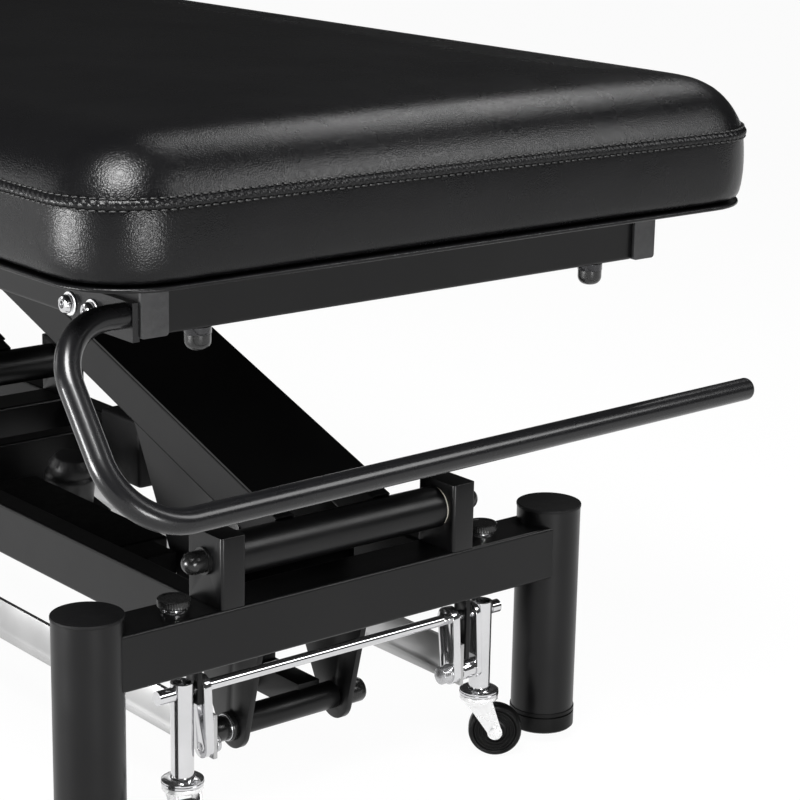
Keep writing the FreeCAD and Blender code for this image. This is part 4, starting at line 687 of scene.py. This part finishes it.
places = ("near_left", "near_right", "far_left", "far_right")
wheelForm = makeWheel()
for place in places:
    axle = joints[place + "_wheel_roll"]
    wheel = seated(wheelForm, camel(place) + "Wheel", aimed(axle["pos_m"], axle["axis"]))
    finishPiece(wheel, camel(place) + "Wheel", place + "_roller", "rubber_black", finishes["softRubber"],
                place + "_caster_wheel")
drop(wheelForm)
print("wheels turned")


# lock knobs: a milled head on a bright neck, with its plunger

knobSizes = {"head": 0.0142, "grip": 0.0072, "neck": 0.0112, "neckTall": 0.0048, "plunger": 0.004,
             "notches": 40, "notchDepth": 0.0005}


def makeKnobHead():
    s = knobSizes
    head, low, high = s["head"], s["neckTall"], s["neckTall"] + s["grip"]
    profile = [(0, low - 0.001), (s["neck"] - 0.001, low - 0.001), (s["neck"], low),
               (head - 0.0007, low), (head, low + 0.0007), (head, low + 0.0016),
               (head, high - 0.0016), (head, high - 0.0007), (head - 0.0008, high),
               (head - 0.0026, high), (head - 0.0034, high - 0.0006), (0, high - 0.0004)]
    form = turned("knobHead", profile, s["notches"] * 4)
    for v in form.data.vertices:
        reach = math.hypot(v.co.x, v.co.y)
        milled = low + 0.0012 < v.co.z < high - 0.0012 and reach > head - 0.0002
        if milled:
            wave = 0.5 + 0.5 * math.cos(math.atan2(v.co.y, v.co.x) * s["notches"])
            v.co.xy = v.co.xy * (1 - s["notchDepth"] / head * wave)
    smoothByAngle(form, 35)
    return form


def makeKnobNeck(depth):
    plunger, neck = knobSizes["plunger"], knobSizes["neck"]
    form = turned("knobNeck", [(0, -depth), (plunger - 0.001, -depth), (plunger, 0.001 - depth),
                               (plunger, 0.0002), (neck, 0.0002), (neck + 0.0004, 0.0008),
                               (neck + 0.0004, 0.0016), (neck - 0.0022, 0.0021),
                               (neck - 0.0022, 0.0034), (neck - 0.0012, 0.0039), (0, 0.0039)])
    smoothByAngle(form, 35)
    return form


knobLow, knobHigh = spread([v.co for v in cadNodes["near_left_lock_knob"].data.vertices])
knobSeat = knobHigh[2] - knobSizes["grip"] - knobSizes["neckTall"]
knobHead, knobNeck = makeKnobHead(), makeKnobNeck(knobSeat - knobLow[2])
for place in places:
    low, high = spread([v.co for v in cadNodes[place + "_lock_knob"].data.vertices])
    seat = aimed(((low[0] + high[0]) / 2, (low[1] + high[1]) / 2, knobSeat), (0, 0, 1))
    head = seated(knobHead, camel(place) + "KnobHead", seat)
    finishPiece(head, camel(place) + "KnobHead", place + "_lock", "plastic_black", finishes["blackOxide"],
                place + "_lock_knob")
    neck = seated(knobNeck, camel(place) + "KnobNeck", seat)
    finishPiece(neck, camel(place) + "KnobNeck", place + "_lock", "chrome", finishes["chrome"])
drop(knobHead)
drop(knobNeck)
print("lock knobs milled")


# swivel races: two pressed rings between each fork and its stem

raceSizes = {"radius": 0.0185, "bore": 0.0105, "tall": 0.0062}


def makeRace():
    s = raceSizes
    outer, tall = s["radius"], s["tall"]
    profile = [(s["bore"], 0), (outer - 0.0012, 0), (outer, 0.0008), (outer, tall * 0.4),
               (outer - 0.0012, tall * 0.46), (outer - 0.0012, tall * 0.54),
               (outer - 0.0002, tall * 0.6), (outer - 0.0002, tall * 0.72),
               (outer - 0.002, tall * 0.9), (outer - 0.0048, tall), (s["bore"], tall)]
    form = turned("raceForm", profile, 56, True)
    smoothByAngle(form, 40)
    return form


raceForm = makeRace()
for place in places:
    pivot = joints[place + "_swivel_turn"]["pos_m"]
    race = seated(raceForm, camel(place) + "Race", aimed(pivot, (0, 0, 1)))
    finishPiece(race, camel(place) + "Race", place + "_swivel", "zinc", finishes["chrome"])
drop(raceForm)
print("swivel races set")


# bolts with socket heads: domed ones on the roll bar, barrel ones on the levers

def makeSocketHead(name, radius, tall, ease, socket, depth, steps=48):
    profile = [(0, tall - depth), (socket, tall - depth), (socket, tall - ease * 0.25),
               (socket + 0.0005, tall), (radius - ease, tall),
               (radius - ease * 0.35, tall - ease * 0.25), (radius, tall - ease),
               (radius, 0.0006), (radius - 0.0004, 0), (0, 0)]
    form = turned(name, profile, steps)
    smoothByAngle(form, 40)
    return form


rollBolt = {"seat": -0.275, "rows": (-0.7852, -0.7532), "z": 0.496, "radius": 0.0074, "tall": 0.0064,
            "washer": 0.0094, "washerTall": 0.0016}
boltForm = makeSocketHead("rollBoltForm", rollBolt["radius"], rollBolt["tall"], 0.0034, 0.0026, 0.0026)
washerForm = makeSocketHead("washerForm", rollBolt["washer"], rollBolt["washerTall"], 0.0005, 0.003, 0.0006)
for number, row in enumerate(rollBolt["rows"]):
    seat = aimed((rollBolt["seat"], row, rollBolt["z"]), (-1, 0, 0))
    onWasher = seat @ Matrix.Translation((0, 0, rollBolt["washerTall"]))
    bolt = seated(boltForm, "rollBolt" + str(number), onWasher)
    finishPiece(bolt, "rollBolt" + str(number), "top", "chrome", finishes["chrome"], "roll_bar_bolts")
    ring = seated(washerForm, "rollWasher" + str(number), seat)
    finishPiece(ring, "rollWasher" + str(number), "top", "chrome", finishes["zinc"])
drop(boltForm)
drop(washerForm)
print("roll-bar bolts set")


# plug strip on the near end of the control box: a block with ribs across its top

plugSizes = {"low": (-0.112, -0.583, 0.166), "high": (-0.065, -0.5432, 0.206), "bands": 6, "rib": 0.0012}


def makePlugStrip():
    s = plugSizes
    clearSelection()
    bpy.ops.mesh.primitive_cube_add(size=1)
    strip = bpy.context.object
    size = [h - l for l, h in zip(s["low"], s["high"])]
    middle = [(h + l) / 2 for l, h in zip(s["low"], s["high"])]
    strip.data.transform(Matrix.Translation(middle) @ Matrix.Diagonal((*size, 1)))
    pick(strip)
    bpy.ops.object.mode_set(mode="EDIT")
    bpy.ops.mesh.select_all(action="SELECT")
    bpy.ops.mesh.subdivide(number_cuts=s["bands"] - 1)
    bpy.ops.object.mode_set(mode="OBJECT")
    for face in strip.data.polygons:
        band = int((face.center.y - s["low"][1]) / size[1] * s["bands"])
        face.select = face.normal.z > 0.9 and band % 2 == 1
    bpy.ops.object.mode_set(mode="EDIT")
    bpy.ops.mesh.select_mode(type="FACE")
    bpy.ops.mesh.extrude_region_shrink_fatten(TRANSFORM_OT_shrink_fatten={"value": -s["rib"]})
    bpy.ops.object.mode_set(mode="OBJECT")
    bevelEdges(strip, 0.0005, 2, 40)
    smoothByAngle(strip, 40)
    return strip


finishPiece(makePlugStrip(), "plugStrip", "base", "plastic_black", finishes["grainPlastic"])
print("plug strip set")


# bumpers under the end rails: a plated cup and a rounded rubber foot

bumperSizes = {"radius": 0.0108, "cup": 0.0066, "tall": 0.0195}


def makeBumperCup():
    r, cup = bumperSizes["radius"], bumperSizes["cup"]
    form = turned("bumperCup", [(0, 0), (r - 0.0005, 0), (r, -0.0005), (r, -cup + 0.0008),
                                (r - 0.0006, -cup), (0, -cup)])
    smoothByAngle(form, 40)
    return form


def makeBumperFoot():
    r, cup, tall = bumperSizes["radius"] - 0.0004, bumperSizes["cup"], bumperSizes["tall"]
    arc = [(r * math.cos(a) ** 0.7, -tall + 0.0075 - 0.0075 * math.sin(a)) for a in
           [math.radians(10 * i) for i in range(9)]]
    form = turned("bumperFoot", [(0, -cup), (r, -cup)] + arc + [(0, -tall)])
    smoothByAngle(form, 40)
    return form


bumperCup, bumperFoot = makeBumperCup(), makeBumperFoot()
for (end, side), (low, high) in quarters("bumpers").items():
    seat = aimed(((low[0] + high[0]) / 2, (low[1] + high[1]) / 2, high[2]), (0, 0, 1))
    label = end + side.capitalize()
    cup = seated(bumperCup, label + "BumperCup", seat)
    finishPiece(cup, label + "BumperCup", "top", "black_fastener", finishes["nutBlack"])
    foot = seated(bumperFoot, label + "BumperFoot", seat)
    finishPiece(foot, label + "BumperFoot", "top", "rubber_black", finishes["glossRubber"], "bumpers")
drop(bumperCup)
drop(bumperFoot)
print("bumpers set")


# lever bolts: black barrels with a socket end and a bright ring at the collar

leverBolt = {"radius": 0.0115, "tall": 0.02, "collar": 0.0135, "collarTall": 0.006, "ring": 0.0126}
barrelForm = makeSocketHead("barrelForm", leverBolt["radius"], leverBolt["tall"], 0.0028, 0.0062, 0.005)
collarForm = makeSocketHead("collarForm", leverBolt["collar"], leverBolt["collarTall"], 0.0012, 0.005,
                            0.0004)
ringForm = makeSocketHead("ringForm", leverBolt["ring"], 0.0014, 0.0005, 0.006, 0.0003)
for side, sign in (("left", -1), ("right", 1)):
    low, high = quarters("lever_bolts")["near", side]
    tip = low[0] if sign < 0 else high[0]
    base = tip - sign * (leverBolt["tall"] + leverBolt["collarTall"])
    seat = aimed((base, (low[1] + high[1]) / 2, (low[2] + high[2]) / 2), (sign, 0, 0))
    lift = Matrix.Translation((0, 0, leverBolt["collarTall"]))
    barrel = seated(barrelForm, side + "LeverBolt", seat @ lift)
    finishPiece(barrel, side + "LeverBolt", "near_arm", "black_fastener", finishes["blackOxide"],
                "lever_bolts")
    collar = seated(collarForm, side + "LeverCollar", seat)
    finishPiece(collar, side + "LeverCollar", "near_arm", "black_fastener", finishes["blackOxide"])
    ring = seated(ringForm, side + "LeverRing", seat @ lift)
    finishPiece(ring, side + "LeverRing", "near_arm", "pin_steel", finishes["groundSteel"])
for form in (barrelForm, collarForm, ringForm):
    drop(form)
print("lever bolts set")


# studio: pale floor, soft boxes, and the photograph's camera

studio = {"floor": 60.0, "floorGlow": 0.96, "world": 0.03}
floorLook = {"base": (0.9, 0.9, 0.9), "shift": (0.95, 0.95, 0.95), "cloud": 2, "rough": (0.8, 0.9),
             "specular": 0.1}

clearSelection()
bpy.ops.mesh.primitive_plane_add(size=studio["floor"], location=(0, 0, -0.0005))
floor = bpy.context.object
floor.name = "studioFloor"
floorPaint, floorTree, floorShader, floorPlace = startMaterial("floorPaint")
tintAndGloss(floorTree, floorShader, floorPlace, floorLook)
floor.data.materials.append(floorPaint)
lightPath = floorTree.nodes.new("ShaderNodeLightPath")
seen = addMath(floorTree, "MAXIMUM", lightPath.outputs["Is Camera Ray"], lightPath.outputs["Is Glossy Ray"])
seen = addMath(floorTree, "MAXIMUM", seen, lightPath.outputs["Is Transmission Ray"])
glow = floorTree.nodes.new("ShaderNodeEmission")
shown = floorTree.nodes.new("ShaderNodeMixShader")
floorTree.links.new(addMath(floorTree, "MULTIPLY", seen, studio["floorGlow"]), shown.inputs["Fac"])
floorTree.links.new(floorShader.outputs["BSDF"], shown.inputs[1])
floorTree.links.new(glow.outputs["Emission"], shown.inputs[2])
floorTree.links.new(shown.outputs["Shader"], floorTree.nodes["Material Output"].inputs["Surface"])

world = bpy.data.worlds.new("studioWorld")
world.use_nodes = True
scene.world = world
background = world.node_tree.nodes["Background"]
background.inputs["Color"].default_value = (1, 1, 1, 1)
background.inputs["Strength"].default_value = studio["world"]


def softBox(name, place, aim, size, power):
    lamp = bpy.data.lights.new(name, "AREA")
    lamp.shape = "RECTANGLE"
    lamp.size, lamp.size_y = size
    lamp.energy = power
    holder = bpy.data.objects.new(name, lamp)
    scene.collection.objects.link(holder)
    holder.location = place
    holder.visible_camera = False
    holder.rotation_euler = (Vector(aim) - Vector(place)).to_track_quat("-Z", "Y").to_euler()


softBoxes = {  # place, aim, size and power of each
    "overheadBox": ((1.5, -0.2, 2.3), (-0.05, -0.88, 0.63), (0.9, 0.9), 12),
    "cornerBox": ((-1.05, -1.55, 2.5), (-0.32, -0.88, 0.61), (1.0, 1.0), 130),
    "frontBox": ((1.44, -2.34, 1.8), (-0.05, -0.9, 0.6), (1.1, 0.9), 26),
    "sideBox": ((-2.34, -0.21, 0.37), (-0.34, -0.86, 0.5), (0.9, 0.54), 70),
    "lowFrontBox": ((-0.63, -3.28, 0.37), (-0.3, -0.9, 0.5), (0.8, 0.54), 40),
    "leftBox": ((-1.8, 1.95, 1.1), (-0.2, -0.3, 0.45), (1.0, 1.0), 9),
}
for boxName, boxValues in softBoxes.items():
    softBox(boxName, *boxValues)

shot = {"place": (-1.1905, -2.2579, 0.8946), "yaw": 39.612, "pitch": 15.106, "roll": 1.0695, "lens": 104.86}


def makeCamera():
    yaw, pitch, roll = (math.radians(shot[k]) for k in ("yaw", "pitch", "roll"))
    ahead = Vector((math.sin(yaw) * math.cos(pitch), math.cos(yaw) * math.cos(pitch), -math.sin(pitch)))
    flat = Vector((math.cos(yaw), -math.sin(yaw), 0))
    rise = flat.cross(ahead)
    right = flat * math.cos(roll) + rise * math.sin(roll)
    up = rise * math.cos(roll) - flat * math.sin(roll)
    data = bpy.data.cameras.new("photoCamera")
    data.sensor_width = 36.0
    data.lens = shot["lens"]
    data.clip_end = 60.0
    camera = bpy.data.objects.new("photoCamera", data)
    scene.collection.objects.link(camera)
    turn = Matrix((right, up, -ahead)).transposed().to_4x4()
    camera.matrix_world = Matrix.Translation(shot["place"]) @ turn
    scene.camera = camera


makeCamera()
scene.view_settings.view_transform = "Standard"
print("studio and camera set")
